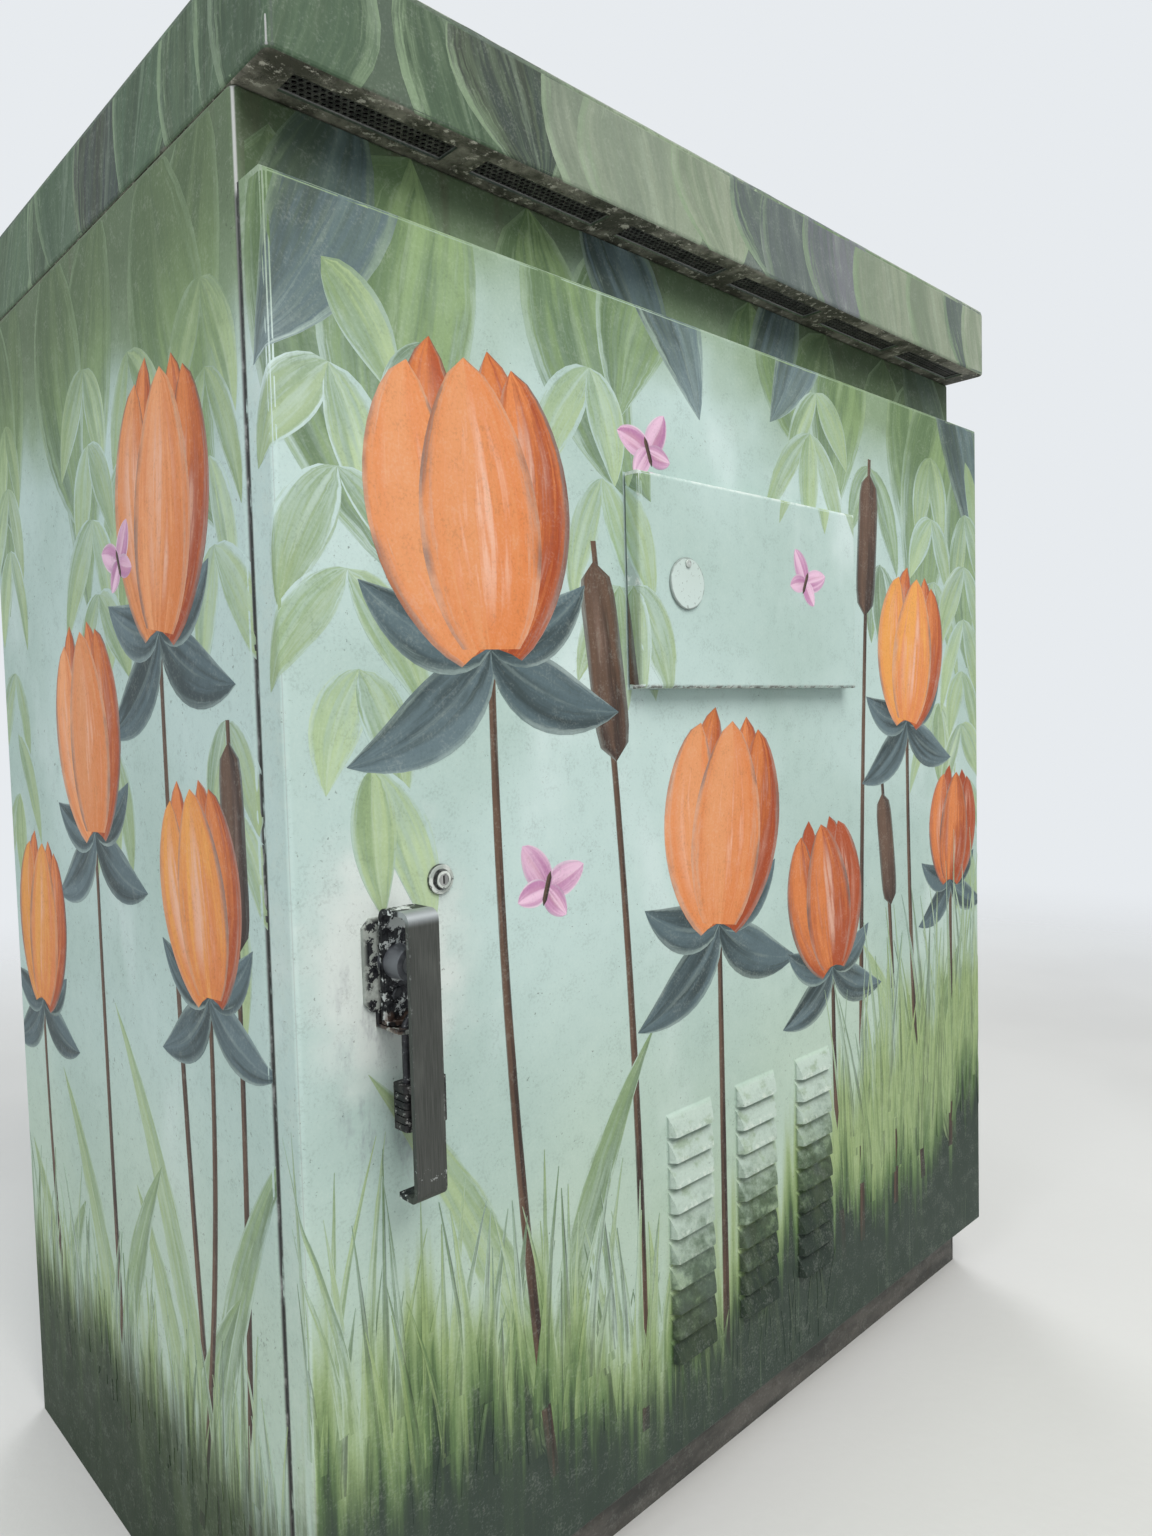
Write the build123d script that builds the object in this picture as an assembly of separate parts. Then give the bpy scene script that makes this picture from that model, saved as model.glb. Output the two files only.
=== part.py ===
from build123d import *
import math
import os

# Roadside utility cabinet of folded and welded aluminium sheet. Sizes are in millimetres.
# X runs along the width, Y from front to back and Z up. The origin is the middle of the
# anchor bolt pattern on the ground. A depth "out" is measured from the body's front towards
# the street, and a depth "in" from the body's front into the cabinet.

# Body
WIDTH = 1118.0
DEPTH = 660.0
BODY_HEIGHT = 1331.0
SHEET = 3.2
CORNER_R = 8.0
BASE_FLANGE = 70.0
TOP_FLANGE = 25.0
TOP_BEND_R = 4.0
BOLT_FROM_SIDE = 44.65
BOLT_FROM_FRONT = 95.05
BOLT_HOLE_R = 11.0

# Roof
ROOF_HEIGHT = 94.0
ROOF_OVERHANG = 54.0
ROOF_TOP_R = 10.0
ROOF_LOW_R = 4.0
VENT_COUNT = 6
VENT_END = 16.0
VENT_BRIDGE = 31.0
VENT_WIDTH = 26.5
VENT_FROM_FRONT = 10.5
SCREEN_SHEET = 1.2
SCREEN_MARGIN = 5.0
SCREEN_HOLE = 5.2
SCREEN_PITCH = 8.6

# Main door and the opening that it covers
DOOR_BOTTOM = 78.0
HEADER = 75.0
DOOR_PROUD = 41.3
DOOR_GAP = 3.5
DOOR_RETURN = 22.0
DOOR_EDGE_R = 5.0
LIP_OUT = 26.0
LIP_MARGIN = 5.0
GASKET_WIDTH = 19.0
SEAL_CLEARANCE = 0.3

# Continuous hinge of the main door, on the right
LEAF_SHEET = 1.5
LEAF_WIDTH = 29.0
KNUCKLE_R = 4.25
KNUCKLE_COUNT = 16
KNUCKLE_GAP = 0.5
HINGE_PIN_R = 2.4
PIN_CLEARANCE = 0.05
HINGE_OUT = 4.8
HINGE_END = 6.0
SCREW_COUNT = 8
SCREW_INSET = 7.0
SCREW_R = 2.5
SCREW_NUT_R = 5.0
SCREW_NUT = 4.0
SCREW_END = 6.0

# Louvres pressed in the door
LOUVRE_COLUMNS = 3
LOUVRE_ROWS = 10
LOUVRE_COLUMN_PITCH = 114.0
LOUVRE_PITCH = 26.7
LOUVRE_TOP = 444.0
LOUVRE_LENGTH = 72.0
LOUVRE_HEIGHT = 23.5
LOUVRE_PROUD = 9.5
LOUVRE_END_SLOPE = 6.0
LOUVRE_SHEET = 2.2
LOUVRE_CORNER_R = 5.0

# Air filter behind the louvres
FILTER_WIDTH = 400.0
FILTER_HEIGHT = 300.0
FILTER_DEPTH = 22.0
FILTER_BOTTOM = 158.0
FILTER_PLEATS = 14
FILTER_BORDER = 14.0
FILTER_SHEET = 2.0
RETAINER_SHEET = 1.6
RETAINER_WRAP = 10.0
RETAINER_HEIGHT = 270.0

# Police door and the switch box behind it
POLICE_WIDTH = 383.0
POLICE_HEIGHT = 208.5
POLICE_DROP = 166.5
POLICE_PROUD = 20.5
POLICE_GAP = 2.5
POLICE_SHEET = 2.5
POLICE_EDGE_R = 4.0
POLICE_RETURN = 14.0
POLICE_OVERLAP_X = 28.5
POLICE_OVERLAP_Z = 26.25
POLICE_LIP_OUT = 7.0
POLICE_LIP_SHEET = 2.5
POLICE_GASKET_WIDTH = 11.0
POLICE_LEAF_SHEET = 1.0
POLICE_LEAF_WIDTH = 12.5
POLICE_KNUCKLE_R = 3.0
POLICE_KNUCKLE_COUNT = 6
POLICE_PIN_R = 1.6
POLICE_HINGE_OUT = 3.4
SWITCH_BOX_MARGIN = 16.0
SWITCH_BOX_FLANGE = 12.0
SWITCH_BOX_SHEET = 2.0
SWITCH_BOX_IN = 46.0
TOGGLE_PITCH = 80.0
TOGGLE_BASE = 30.0
TOGGLE_BASE_DEPTH = 11.0
TOGGLE_SLOT = 21.0
TOGGLE_FLOOR = 1.5
TOGGLE_LENGTH = 20.0
TOGGLE_TILT = 14.0

# Keyhole cover and lock of the police door
KEY_FROM_SIDE = 66.5
COVER_R = 26.0
COVER_SHEET = 2.5
COVER_STANDOFF = 0.3
COVER_PIVOT_UP = 19.5
COVER_RIVET_R = 2.4
COVER_RIVET_HEAD_R = 4.2
COVER_RIVET_HEAD = 1.6
POLICE_LOCK_R = 10.0
POLICE_LOCK_LENGTH = 30.0
POLICE_NUT_R = 13.5
POLICE_NUT = 5.0
POLICE_PLUG_R = 6.0
KEYWAY_WIDTH = 1.6
KEYWAY_HEIGHT = 7.0
KEYWAY_DEPTH = 16.0
POLICE_CAM_LENGTH = 52.0
POLICE_CAM_WIDTH = 13.0
POLICE_CAM_SHEET = 2.5

# Main lock
LOCK_FROM_SHAFT_X = 52.0
LOCK_FROM_SHAFT_Z = 57.0
LOCK_FACE_R = 12.7
LOCK_FACE_PROUD = 3.0
LOCK_BARREL_R = 10.5
LOCK_BOSS_R = 7.5
LOCK_BOSS_PROUD = 6.5
LOCK_PLUG_R = 5.0
LOCK_BODY_WIDTH = 44.0
LOCK_BODY_HEIGHT = 30.0
LOCK_BOLT_HEIGHT = 12.0
LOCK_BOLT_UP = 4.0
LOCK_BOLT_SHEET = 2.8
LOCK_BOLT_IN = 3.7
LOCK_BOLT_REACH = 91.0
LOCK_BOLT_TAIL = 14.0
BOLT_CLEARANCE = 0.3

# Handle, its shaft and its base plate
SHAFT_FROM_EDGE = 83.0
SHAFT_R = 8.0
COLLAR_R = 11.0
BASE_PLATE_WIDTH = 50.0
BASE_PLATE_UP = 35.0
BASE_PLATE_DOWN = 39.0
BASE_PLATE_SHEET = 4.0
BASE_PLATE_CHAMFER = 7.0
STRAP_WIDTH = 28.0
STRAP_SHEET = 4.5
STRAP_UP = 44.0
STRAP_DOWN = 182.0
STRAP_OUT = 50.0
STRAP_INNER_OUT = 13.0
STRAP_BEND_R = 9.0
STRAP_HOOK = 25.0
HUB_R = 13.5
HUB_OUT = 32.0
HANDLE_LIP_R = 47.0
HANDLE_LIP_OUT = 17.6
HASP_R = 51.0
HASP_SHEET = 3.0
HASP_OUT = 31.0
RIVET_BOSS_R = 7.0
RIVET_BOSS_PROUD = 2.5
RIVET_BOSS_DOWN = 27.0

# Padlock that hangs in the hasp
SHACKLE_ASIDE = 1.0
SHACKLE_OUT = 22.0
SHACKLE_R = 3.6
SHACKLE_SPACING = 23.0
SHACKLE_CLEARANCE = 0.6
SHACKLE_DROP = 53.5
PADLOCK_WIDTH = 40.0
PADLOCK_DEPTH = 20.0
PADLOCK_DOWN = 95.0
PADLOCK_HEIGHT = 36.0
PADLOCK_CORNER_R = 4.0
PADLOCK_PLATES = 6
PADLOCK_GROOVE = 1.0
SHACKLE_SEAT = 13.0
SHACKLE_BORE_CLEARANCE = 0.1

# Latch inside the door: a spiral cam that draws two rods
BRACKET_WIDTH = 66.0
BRACKET_HEIGHT = 80.0
BRACKET_SHEET = 3.0
BRACKET_IN = -3.0
BUSH_R = 12.0
CAM_IN = 1.0
CAM_SHEET = 5.0
CAM_R = 46.0
CAM_PIN_R = 3.0
CAM_SLOT_CLEARANCE = 0.3
CAM_START_R = 38.0
LATCH_TRAVEL = 24.0
LATCH_TURN = 90.0
ROD_WIDTH = 20.0
ROD_DEPTH = 8.0
ROD_IN = 7.0
ROLLER_R = 12.0
ROLLER_WIDTH = 10.0
ROLLER_AXLE_R = 2.5
ROLLER_SIDE_CLEARANCE = 0.4
ROLLER_STOP_GAP = 1.5
GUIDE_WIDTH = 46.0
GUIDE_THICKNESS = 12.0
GUIDE_WALL = 5.0
GUIDE_CLEARANCE = 0.4
GUIDE_NEAR = 180.0
GUIDE_FROM_TIP = 84.0

# Door stay
STAY_FROM_FILTER = 50.0
STAY_UP = 29.4
STAY_IN = -13.0
STAY_R = 4.0
STAY_LENGTH = 300.0
STAY_HOOK = 14.0
STAY_BEND_R = 8.0
STAY_EYE_STEP = 0.4
STAY_PIN_R = 3.0
STAY_EYE_R = 8.0
STAY_BRACKET_SHEET = 3.0
STAY_BRACKET_HALF = 18.0
STAY_FORK_GAP = 0.5
STAY_CLIP_LENGTH = 18.0

# Equipment inside
CHANNEL_WIDTH = 41.0
CHANNEL_DEPTH = 15.0
CHANNEL_SHEET = 2.5
CHANNEL_BOTTOM = 140.0
CHANNEL_HEADROOM = 43.8
CHANNEL_Y = 170.0
SHELF_SHEET = 2.5
SHELF_DEPTH = 400.0
SHELF_TURN_DOWN = 25.0
SHELF_SIDE_GAP = 0.5
LOWER_SHELF_TOP = 520.0
UPPER_SHELF_TOP = 860.0
SHELF_BRACKET_REACH = 34.0
SHELF_BRACKET_SHEET = 3.0
BACK_PANEL_SIDE_GAP = 79.0
BACK_PANEL_BOTTOM = 180.0
BACK_PANEL_HEADROOM = 103.8
BACK_PANEL_SHEET = 3.0
BACK_PANEL_STANDOFF = 26.0
PANEL_HOLE_SPACING = 300.0
PANEL_HOLE_R = 4.5
PANEL_HOLES_Z = 850.0
STANDOFF_R = 8.0
STANDOFF_INSET = 40.0
TERMINAL_LENGTH = 640.0
TERMINAL_HEIGHT = 42.0
TERMINAL_DEPTH = 24.0
TERMINAL_WAYS = 16
TERMINAL_STRIPS = 2
TERMINAL_LOW = 290.0
TERMINAL_STEP = 110.0
TERMINAL_TROUGH = 28.0
GROUND_BAR_LENGTH = 300.0
GROUND_BAR_HEIGHT = 22.0
GROUND_BAR_SHEET = 6.0
GROUND_BAR_Z = 215.0
GROUND_BAR_HOLES = 8
GROUND_BAR_HOLE_R = 3.0
GROUND_POST = 14.0
GROUND_POST_R = 6.0
BREAKER_FROM_EDGE = 150.0
BREAKER_Z = 700.0
BREAKER_WIDTH = 150.0
BREAKER_HEIGHT = 110.0
BREAKER_DEPTH = 62.0
BREAKER_POLE_PITCH = 50.0
BREAKER_CHAMFER = 3.0
LEVER_WIDTH = 12.0
LEVER_LENGTH = 18.0
LEVER_THICKNESS = 7.0
LEVER_WINDOW = 26.0
LEVER_PIN_R = 2.0
LEVER_TILT = 18.0
PLENUM_DROP = 44.0
PLENUM_SHEET = 2.0
PLENUM_MARGIN = 6.0
FAN_X = 0.0
FAN_Y = 40.0
FAN_SIZE = 120.0
FAN_DEPTH = 38.0
FAN_BORE_R = 56.0
FAN_HUB_R = 19.0
FAN_TIP_GAP = 1.2
FAN_BLADES = 7
FAN_BLADE_SHEET = 2.4
FAN_BLADE_PITCH = 42.0
FAN_SPINDLE_R = 3.0
GUARD_WIRE = 2.5
GUARD_RINGS = 3
GUARD_OVERLAP = 7.0
FAN_CORNER_R = 6.0
FAN_SPOKE = 6.0
FAN_SEAT = 4.0
LAMP_LENGTH = 460.0
LAMP_WIDTH = 42.0
LAMP_HEIGHT = 26.0
LAMP_IN = 60.0
LAMP_EDGE_R = 9.0

# Places worked out from the sizes
HALF_WIDTH = WIDTH / 2
FRONT = -DEPTH / 2
BACK = DEPTH / 2
BOLT_X = HALF_WIDTH - BOLT_FROM_SIDE
BOLT_Y = DEPTH / 2 - BOLT_FROM_FRONT
VENT_PITCH = (WIDTH - 2 * VENT_END) / VENT_COUNT
VENT_LENGTH = VENT_PITCH - VENT_BRIDGE
VENT_Y = FRONT - VENT_FROM_FRONT - VENT_WIDTH / 2
DOOR_FACE = FRONT - DOOR_PROUD
DOOR_INSIDE = DOOR_FACE + SHEET
DOOR_REAR = FRONT - DOOR_GAP
DOOR_TOP = BODY_HEIGHT - HEADER
DOOR_MIDDLE_Z = (DOOR_BOTTOM + DOOR_TOP) / 2
DOOR_HEIGHT = DOOR_TOP - DOOR_BOTTOM
RING_INSET = SHEET + DOOR_RETURN + LIP_MARGIN
RING_WIDTH = WIDTH - 2 * RING_INSET
RING_HEIGHT = DOOR_HEIGHT - 2 * RING_INSET
OPENING_TOP = DOOR_TOP - RING_INSET - SHEET
OPENING_BOTTOM = DOOR_BOTTOM + RING_INSET + SHEET
HINGE_X = HALF_WIDTH + HINGE_OUT
HINGE_Y = FRONT - DOOR_GAP / 2
HINGE_LOW = DOOR_BOTTOM + HINGE_END
HINGE_HIGH = DOOR_TOP - HINGE_END
POLICE_FACE = DOOR_FACE - POLICE_PROUD
POLICE_REAR = DOOR_FACE - POLICE_GAP
POLICE_TOP = DOOR_TOP - POLICE_DROP
POLICE_BOTTOM = POLICE_TOP - POLICE_HEIGHT
POLICE_MIDDLE_Z = (POLICE_BOTTOM + POLICE_TOP) / 2
POLICE_OPENING_WIDTH = POLICE_WIDTH - 2 * POLICE_OVERLAP_X
POLICE_OPENING_HEIGHT = POLICE_HEIGHT - 2 * POLICE_OVERLAP_Z
KEY_X = KEY_FROM_SIDE - POLICE_WIDTH / 2
KEY_Z = POLICE_MIDDLE_Z
POLICE_HINGE_X = POLICE_WIDTH / 2 + POLICE_HINGE_OUT
POLICE_HINGE_Y = DOOR_FACE - POLICE_KNUCKLE_R - 0.1
SWITCH_PANEL_Y = FRONT + SWITCH_BOX_IN
SHAFT_X = SHAFT_FROM_EDGE - HALF_WIDTH
SHAFT_Z = DOOR_MIDDLE_Z
LOCK_X = SHAFT_X + LOCK_FROM_SHAFT_X
LOCK_Z = SHAFT_Z + LOCK_FROM_SHAFT_Z
LOCK_BOLT_Z = LOCK_Z + LOCK_BOLT_UP
BASE_PLATE_TOP = SHAFT_Z + BASE_PLATE_UP
BASE_PLATE_BOTTOM = SHAFT_Z - BASE_PLATE_DOWN
STRAP_TOP = SHAFT_Z + STRAP_UP
STRAP_BOTTOM = SHAFT_Z - STRAP_DOWN
SHACKLE_X = SHAFT_X - SHACKLE_ASIDE
PADLOCK_TOP = SHAFT_Z - PADLOCK_DOWN
CAM_FRONT = FRONT + CAM_IN
CAM_REAR = CAM_FRONT + CAM_SHEET
ROD_FRONT = FRONT + ROD_IN
ROD_REAR = ROD_FRONT + ROD_DEPTH
ROD_Y = (ROD_FRONT + ROD_REAR) / 2
UPPER_TIP = OPENING_TOP - ROLLER_STOP_GAP
LOWER_TIP = OPENING_BOTTOM + ROLLER_STOP_GAP
STAY_X = FILTER_WIDTH / 2 + STAY_FROM_FILTER
STAY_Z = OPENING_BOTTOM + STAY_UP
BACK_PANEL_Y = BACK - SHEET - BACK_PANEL_STANDOFF - BACK_PANEL_SHEET
PLENUM_Z = BODY_HEIGHT - SHEET - PLENUM_DROP
CHANNEL_TOP = PLENUM_Z - CHANNEL_HEADROOM
BACK_PANEL_TOP = PLENUM_Z - BACK_PANEL_HEADROOM
BACK_PANEL_WIDTH = WIDTH - 2 * BACK_PANEL_SIDE_GAP
BREAKER_X = BACK_PANEL_WIDTH / 2 - BREAKER_FROM_EDGE
INNER_HALF_WIDTH = HALF_WIDTH - SHEET
LEFT = -1
RIGHT = 1


def block(x0, x1, y0, y1, z0, z1):
    """A box between two corners."""
    middle = Pos((x0 + x1) / 2, (y0 + y1) / 2, (z0 + z1) / 2)
    return middle * Box(abs(x1 - x0), abs(y1 - y0), abs(z1 - z0))


def upright(x, y, radius, z0, z1):
    """A round bar along Z."""
    return Pos(x, y, (z0 + z1) / 2) * Cylinder(radius, abs(z1 - z0))


def across(x0, x1, y, z, radius):
    """A round bar along X."""
    return Pos((x0 + x1) / 2, y, z) * Rot(0, 90, 0) * Cylinder(radius, abs(x1 - x0))


def through(x, z, radius, y0, y1):
    """A round bar along Y."""
    return Pos(x, (y0 + y1) / 2, z) * Rot(90, 0, 0) * Cylinder(radius, abs(y1 - y0))


def front_plane(x, y, z):
    """A sketch plane seen from the street: its X is the cabinet's X and its Y is up."""
    return Plane(origin=(x, y, z), x_dir=(1, 0, 0), z_dir=(0, -1, 0))


def from_front(sketch, x, y_near, y_far, z):
    """Extrudes a sketch drawn as seen from the street, from y_near back to y_far."""
    return extrude(front_plane(x, y_far, z) * sketch, abs(y_far - y_near))


def side_profile(points, x0, x1):
    """A closed outline of (y, z) points, extruded along X."""
    plane = Plane(origin=(x0, 0, 0), x_dir=(0, 1, 0), z_dir=(1, 0, 0))
    return extrude(plane * make_face(Polyline(*points, close=True)), x1 - x0)


def top_loop(solid):
    """The edges around a solid's highest face."""
    return solid.faces().sort_by(Axis.Z)[-1].outer_wire().edges()


def bottom_loop(solid):
    """The edges around a solid's lowest face."""
    return solid.faces().sort_by(Axis.Z)[0].outer_wire().edges()


def front_loop(solid):
    """The edges around a solid's face nearest to the street."""
    return solid.faces().sort_by(Axis.Y)[0].outer_wire().edges()


# Body shell

def body_shell():
    """Walls, base flange and top flange, with the door opening and the anchor holes."""
    outline = RectangleRounded(WIDTH, DEPTH, CORNER_R)
    inside = RectangleRounded(WIDTH - 2 * SHEET, DEPTH - 2 * SHEET, CORNER_R - SHEET)
    base_hole = Rectangle(WIDTH - 2 * BASE_FLANGE, DEPTH - 2 * BASE_FLANGE)
    top_hole = Rectangle(WIDTH - 2 * TOP_FLANGE, DEPTH - 2 * TOP_FLANGE)
    shell = extrude(outline, BODY_HEIGHT)
    shell = fillet(top_loop(shell), TOP_BEND_R)
    shell -= Pos(0, 0, SHEET) * extrude(inside, BODY_HEIGHT - 2 * SHEET)
    shell -= extrude(base_hole, SHEET)
    shell -= Pos(0, 0, BODY_HEIGHT - SHEET) * extrude(top_hole, SHEET)
    shell -= from_front(Rectangle(RING_WIDTH, RING_HEIGHT), 0, FRONT, FRONT + SHEET, DOOR_MIDDLE_Z)
    for side in (LEFT, RIGHT):
        for end in (LEFT, RIGHT):
            shell -= upright(side * BOLT_X, end * BOLT_Y, BOLT_HOLE_R, 0, SHEET)
    return shell - screw_bores(FRONT, FRONT + SHEET)


def opening_lip():
    """Welded rim round the door opening, which the door's gasket closes on."""
    ring = Rectangle(RING_WIDTH, RING_HEIGHT) - Rectangle(RING_WIDTH - 2 * SHEET, RING_HEIGHT - 2 * SHEET)
    return from_front(ring, 0, FRONT - LIP_OUT, FRONT + SHEET, DOOR_MIDDLE_Z)


# Roof

def vent_centres():
    """Places along X of the vents under the overhang."""
    return [VENT_PITCH * (i - (VENT_COUNT - 1) / 2) for i in range(VENT_COUNT)]


def roof_lid():
    """Hollow lid with an overhang whose underside holds the vents."""
    length = DEPTH + ROOF_OVERHANG
    centre_y = -ROOF_OVERHANG / 2
    outline = Pos(0, centre_y) * RectangleRounded(WIDTH, length, CORNER_R)
    inside = Pos(0, centre_y) * RectangleRounded(WIDTH - 2 * SHEET, length - 2 * SHEET, CORNER_R - SHEET)
    lid = extrude(outline, ROOF_HEIGHT)
    lid = fillet(top_loop(lid), ROOF_TOP_R)
    lid = fillet(bottom_loop(lid), ROOF_LOW_R)
    cavity = extrude(inside, ROOF_HEIGHT - 2 * SHEET)
    cavity = fillet(top_loop(cavity), ROOF_TOP_R - SHEET)
    lid -= Pos(0, 0, SHEET) * cavity
    lid -= extrude(Rectangle(WIDTH - 2 * TOP_FLANGE, DEPTH - 2 * TOP_FLANGE), SHEET)
    for x in vent_centres():
        lid -= Pos(x, VENT_Y, 0) * extrude(Rectangle(VENT_LENGTH, VENT_WIDTH), SHEET)
    return Pos(0, 0, BODY_HEIGHT) * lid


def vent_screens():
    """Perforated strips that lie over the vents, one for each."""
    rows = int((VENT_WIDTH - SCREEN_HOLE) / SCREEN_PITCH) + 1
    columns = int((VENT_LENGTH - SCREEN_HOLE) / SCREEN_PITCH) + 1
    holes = Sketch()
    hole = Rot(0, 0, 45) * Rectangle(SCREEN_HOLE, SCREEN_HOLE)
    for row in range(rows):
        for column in range(columns - row % 2):
            along = SCREEN_PITCH * (column - (columns - 1 - row % 2) / 2)
            holes += Pos(along, SCREEN_PITCH * (row - (rows - 1) / 2)) * hole
    plate = Rectangle(VENT_LENGTH + 2 * SCREEN_MARGIN, VENT_WIDTH + 2 * SCREEN_MARGIN) - holes
    screen = extrude(plate, SCREEN_SHEET)
    return [Pos(x, VENT_Y, BODY_HEIGHT + SHEET) * screen for x in vent_centres()]


# Main door

def louvre_prism(length, height, proud, end_slope, corner):
    """Hood of one louvre: it rises from the sheet at its top to its open lower edge."""
    lip_bulge = 0.62
    top = (0, height)
    middle = (-proud * lip_bulge, height / 2)
    lip = (-proud, 0)
    outline = ThreePointArc(top, middle, lip) + Line(lip, (0, 0)) + Line((0, 0), top)
    side = Plane(origin=(-length / 2, 0, 0), x_dir=(0, 1, 0), z_dir=(1, 0, 0))
    wedge = extrude(side * make_face(outline), length)
    plan_points = (
        (-length / 2, 0),
        (length / 2, 0),
        (length / 2 - end_slope, -proud),
        (-length / 2 + end_slope, -proud),
    )
    plan = extrude(make_face(Polyline(*plan_points, close=True)), height)
    ends = plan.edges().filter_by(Axis.Z).sort_by(Axis.Y)[:2]
    return wedge & fillet(ends, corner)


def louvre_places():
    """Lower left starting points of the louvres."""
    places = []
    for column in range(LOUVRE_COLUMNS):
        x = LOUVRE_COLUMN_PITCH * (column - (LOUVRE_COLUMNS - 1) / 2)
        for row in range(LOUVRE_ROWS):
            places.append((x, LOUVRE_TOP - LOUVRE_HEIGHT - row * LOUVRE_PITCH))
    return places


def door_panel():
    """Folded pan with return flanges, pressed louvres and the police opening."""
    outline = Rectangle(WIDTH, DOOR_HEIGHT)
    pan = from_front(outline, 0, DOOR_FACE, DOOR_REAR, DOOR_MIDDLE_Z)
    pan = fillet(front_loop(pan), DOOR_EDGE_R)
    cavity = Rectangle(WIDTH - 2 * SHEET, DOOR_HEIGHT - 2 * SHEET)
    pan -= from_front(cavity, 0, DOOR_INSIDE, DOOR_REAR - SHEET, DOOR_MIDDLE_Z)
    rim = 2 * (SHEET + DOOR_RETURN)
    pan -= from_front(Rectangle(WIDTH - rim, DOOR_HEIGHT - rim), 0, DOOR_REAR - SHEET, DOOR_REAR, DOOR_MIDDLE_Z)
    hood = louvre_prism(LOUVRE_LENGTH, LOUVRE_HEIGHT, LOUVRE_PROUD, LOUVRE_END_SLOPE, LOUVRE_CORNER_R)
    inner_length = LOUVRE_LENGTH - 2 * LOUVRE_SHEET
    inner_height = LOUVRE_HEIGHT - LOUVRE_SHEET
    inner_proud = LOUVRE_PROUD - LOUVRE_SHEET
    inner_corner = LOUVRE_CORNER_R - LOUVRE_SHEET
    hollow = louvre_prism(inner_length, inner_height, inner_proud, LOUVRE_END_SLOPE, inner_corner)
    hollow += block(-inner_length / 2, inner_length / 2, 0, SHEET, 0, inner_height)
    places = louvre_places()
    pan = pan + [Pos(x, DOOR_FACE, z) * hood for x, z in places]
    pan = pan - [Pos(x, DOOR_FACE, z) * hollow for x, z in places]
    opening = Rectangle(POLICE_OPENING_WIDTH, POLICE_OPENING_HEIGHT)
    rim_outline = offset(opening, POLICE_LIP_SHEET, kind=Kind.INTERSECTION)
    pan += from_front(rim_outline, 0, DOOR_FACE - POLICE_LIP_OUT, DOOR_FACE, POLICE_MIDDLE_Z)
    pan -= from_front(opening, 0, DOOR_FACE - POLICE_LIP_OUT, DOOR_INSIDE, POLICE_MIDDLE_Z)
    pan -= through(SHAFT_X, SHAFT_Z, BUSH_R, DOOR_FACE, DOOR_INSIDE)
    pan -= through(LOCK_X, LOCK_Z, LOCK_BARREL_R, DOOR_FACE, DOOR_INSIDE)
    return pan


def door_gasket():
    """Foam strip on the door's inside, in line with the rim of the opening."""
    middle = RING_INSET + SHEET / 2
    low = middle - GASKET_WIDTH / 2
    high = middle + GASKET_WIDTH / 2
    outer = Rectangle(WIDTH - 2 * low, DOOR_HEIGHT - 2 * low)
    inner = Rectangle(WIDTH - 2 * high, DOOR_HEIGHT - 2 * high)
    return from_front(outer - inner, 0, DOOR_INSIDE, FRONT - LIP_OUT - SEAL_CLEARANCE, DOOR_MIDDLE_Z)


# Continuous hinges

def screw_heights(count):
    """Evenly spaced heights along the main hinge."""
    step = (HINGE_HIGH - HINGE_LOW) / count
    return [HINGE_LOW + step * (i + 0.5) for i in range(count)]


def screw_bores(y0, y1):
    """Holes for the frame leaf's screws between two depths."""
    x = HINGE_X - LEAF_WIDTH + SCREW_INSET
    return [through(x, z, SCREW_R, y0, y1) for z in screw_heights(SCREW_COUNT)]


def hinge_leaf(axis_x, axis_y, leaf_x, leaf_y0, leaf_y1, z0, z1, count, first, barrel_r, pin_r):
    """A leaf whose knuckles start at place first and leave every other place free."""
    step = (z1 - z0) / count
    leaf = block(leaf_x, axis_x, leaf_y0, leaf_y1, z0, z1)
    free = barrel_r + KNUCKLE_GAP
    for place in range(1 - first, count, 2):
        low = z0 + place * step - KNUCKLE_GAP / 2
        leaf -= block(axis_x - free, axis_x, leaf_y0, leaf_y1, low, low + step + KNUCKLE_GAP)
    for place in range(first, count, 2):
        low = z0 + place * step
        leaf += upright(axis_x, axis_y, barrel_r, low + KNUCKLE_GAP / 2, low + step - KNUCKLE_GAP / 2)
    return leaf - upright(axis_x, axis_y, pin_r + PIN_CLEARANCE, z0, z1)


def hinge_frame_leaf():
    """Leaf screwed to the front of the body."""
    leaf = hinge_leaf(
        HINGE_X, HINGE_Y, HINGE_X - LEAF_WIDTH, FRONT - LEAF_SHEET, FRONT, HINGE_LOW, HINGE_HIGH,
        KNUCKLE_COUNT, 0, KNUCKLE_R, HINGE_PIN_R)
    return leaf - screw_bores(FRONT - LEAF_SHEET, FRONT)


def hinge_door_leaf():
    """Leaf screwed to the door's return flange."""
    return hinge_leaf(
        HINGE_X, HINGE_Y, HINGE_X - LEAF_WIDTH, DOOR_REAR, DOOR_REAR + LEAF_SHEET, HINGE_LOW, HINGE_HIGH,
        KNUCKLE_COUNT, 1, KNUCKLE_R, HINGE_PIN_R)


def hinge_pin():
    """Pin of the main hinge, headed at both ends."""
    head = KNUCKLE_R - HINGE_PIN_R / 2
    pin = upright(HINGE_X, HINGE_Y, HINGE_PIN_R, HINGE_LOW - 1, HINGE_HIGH + 1)
    pin += upright(HINGE_X, HINGE_Y, head, HINGE_LOW - 3, HINGE_LOW - KNUCKLE_GAP)
    return pin + upright(HINGE_X, HINGE_Y, head, HINGE_HIGH + KNUCKLE_GAP, HINGE_HIGH + 3)


# Police door

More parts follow.
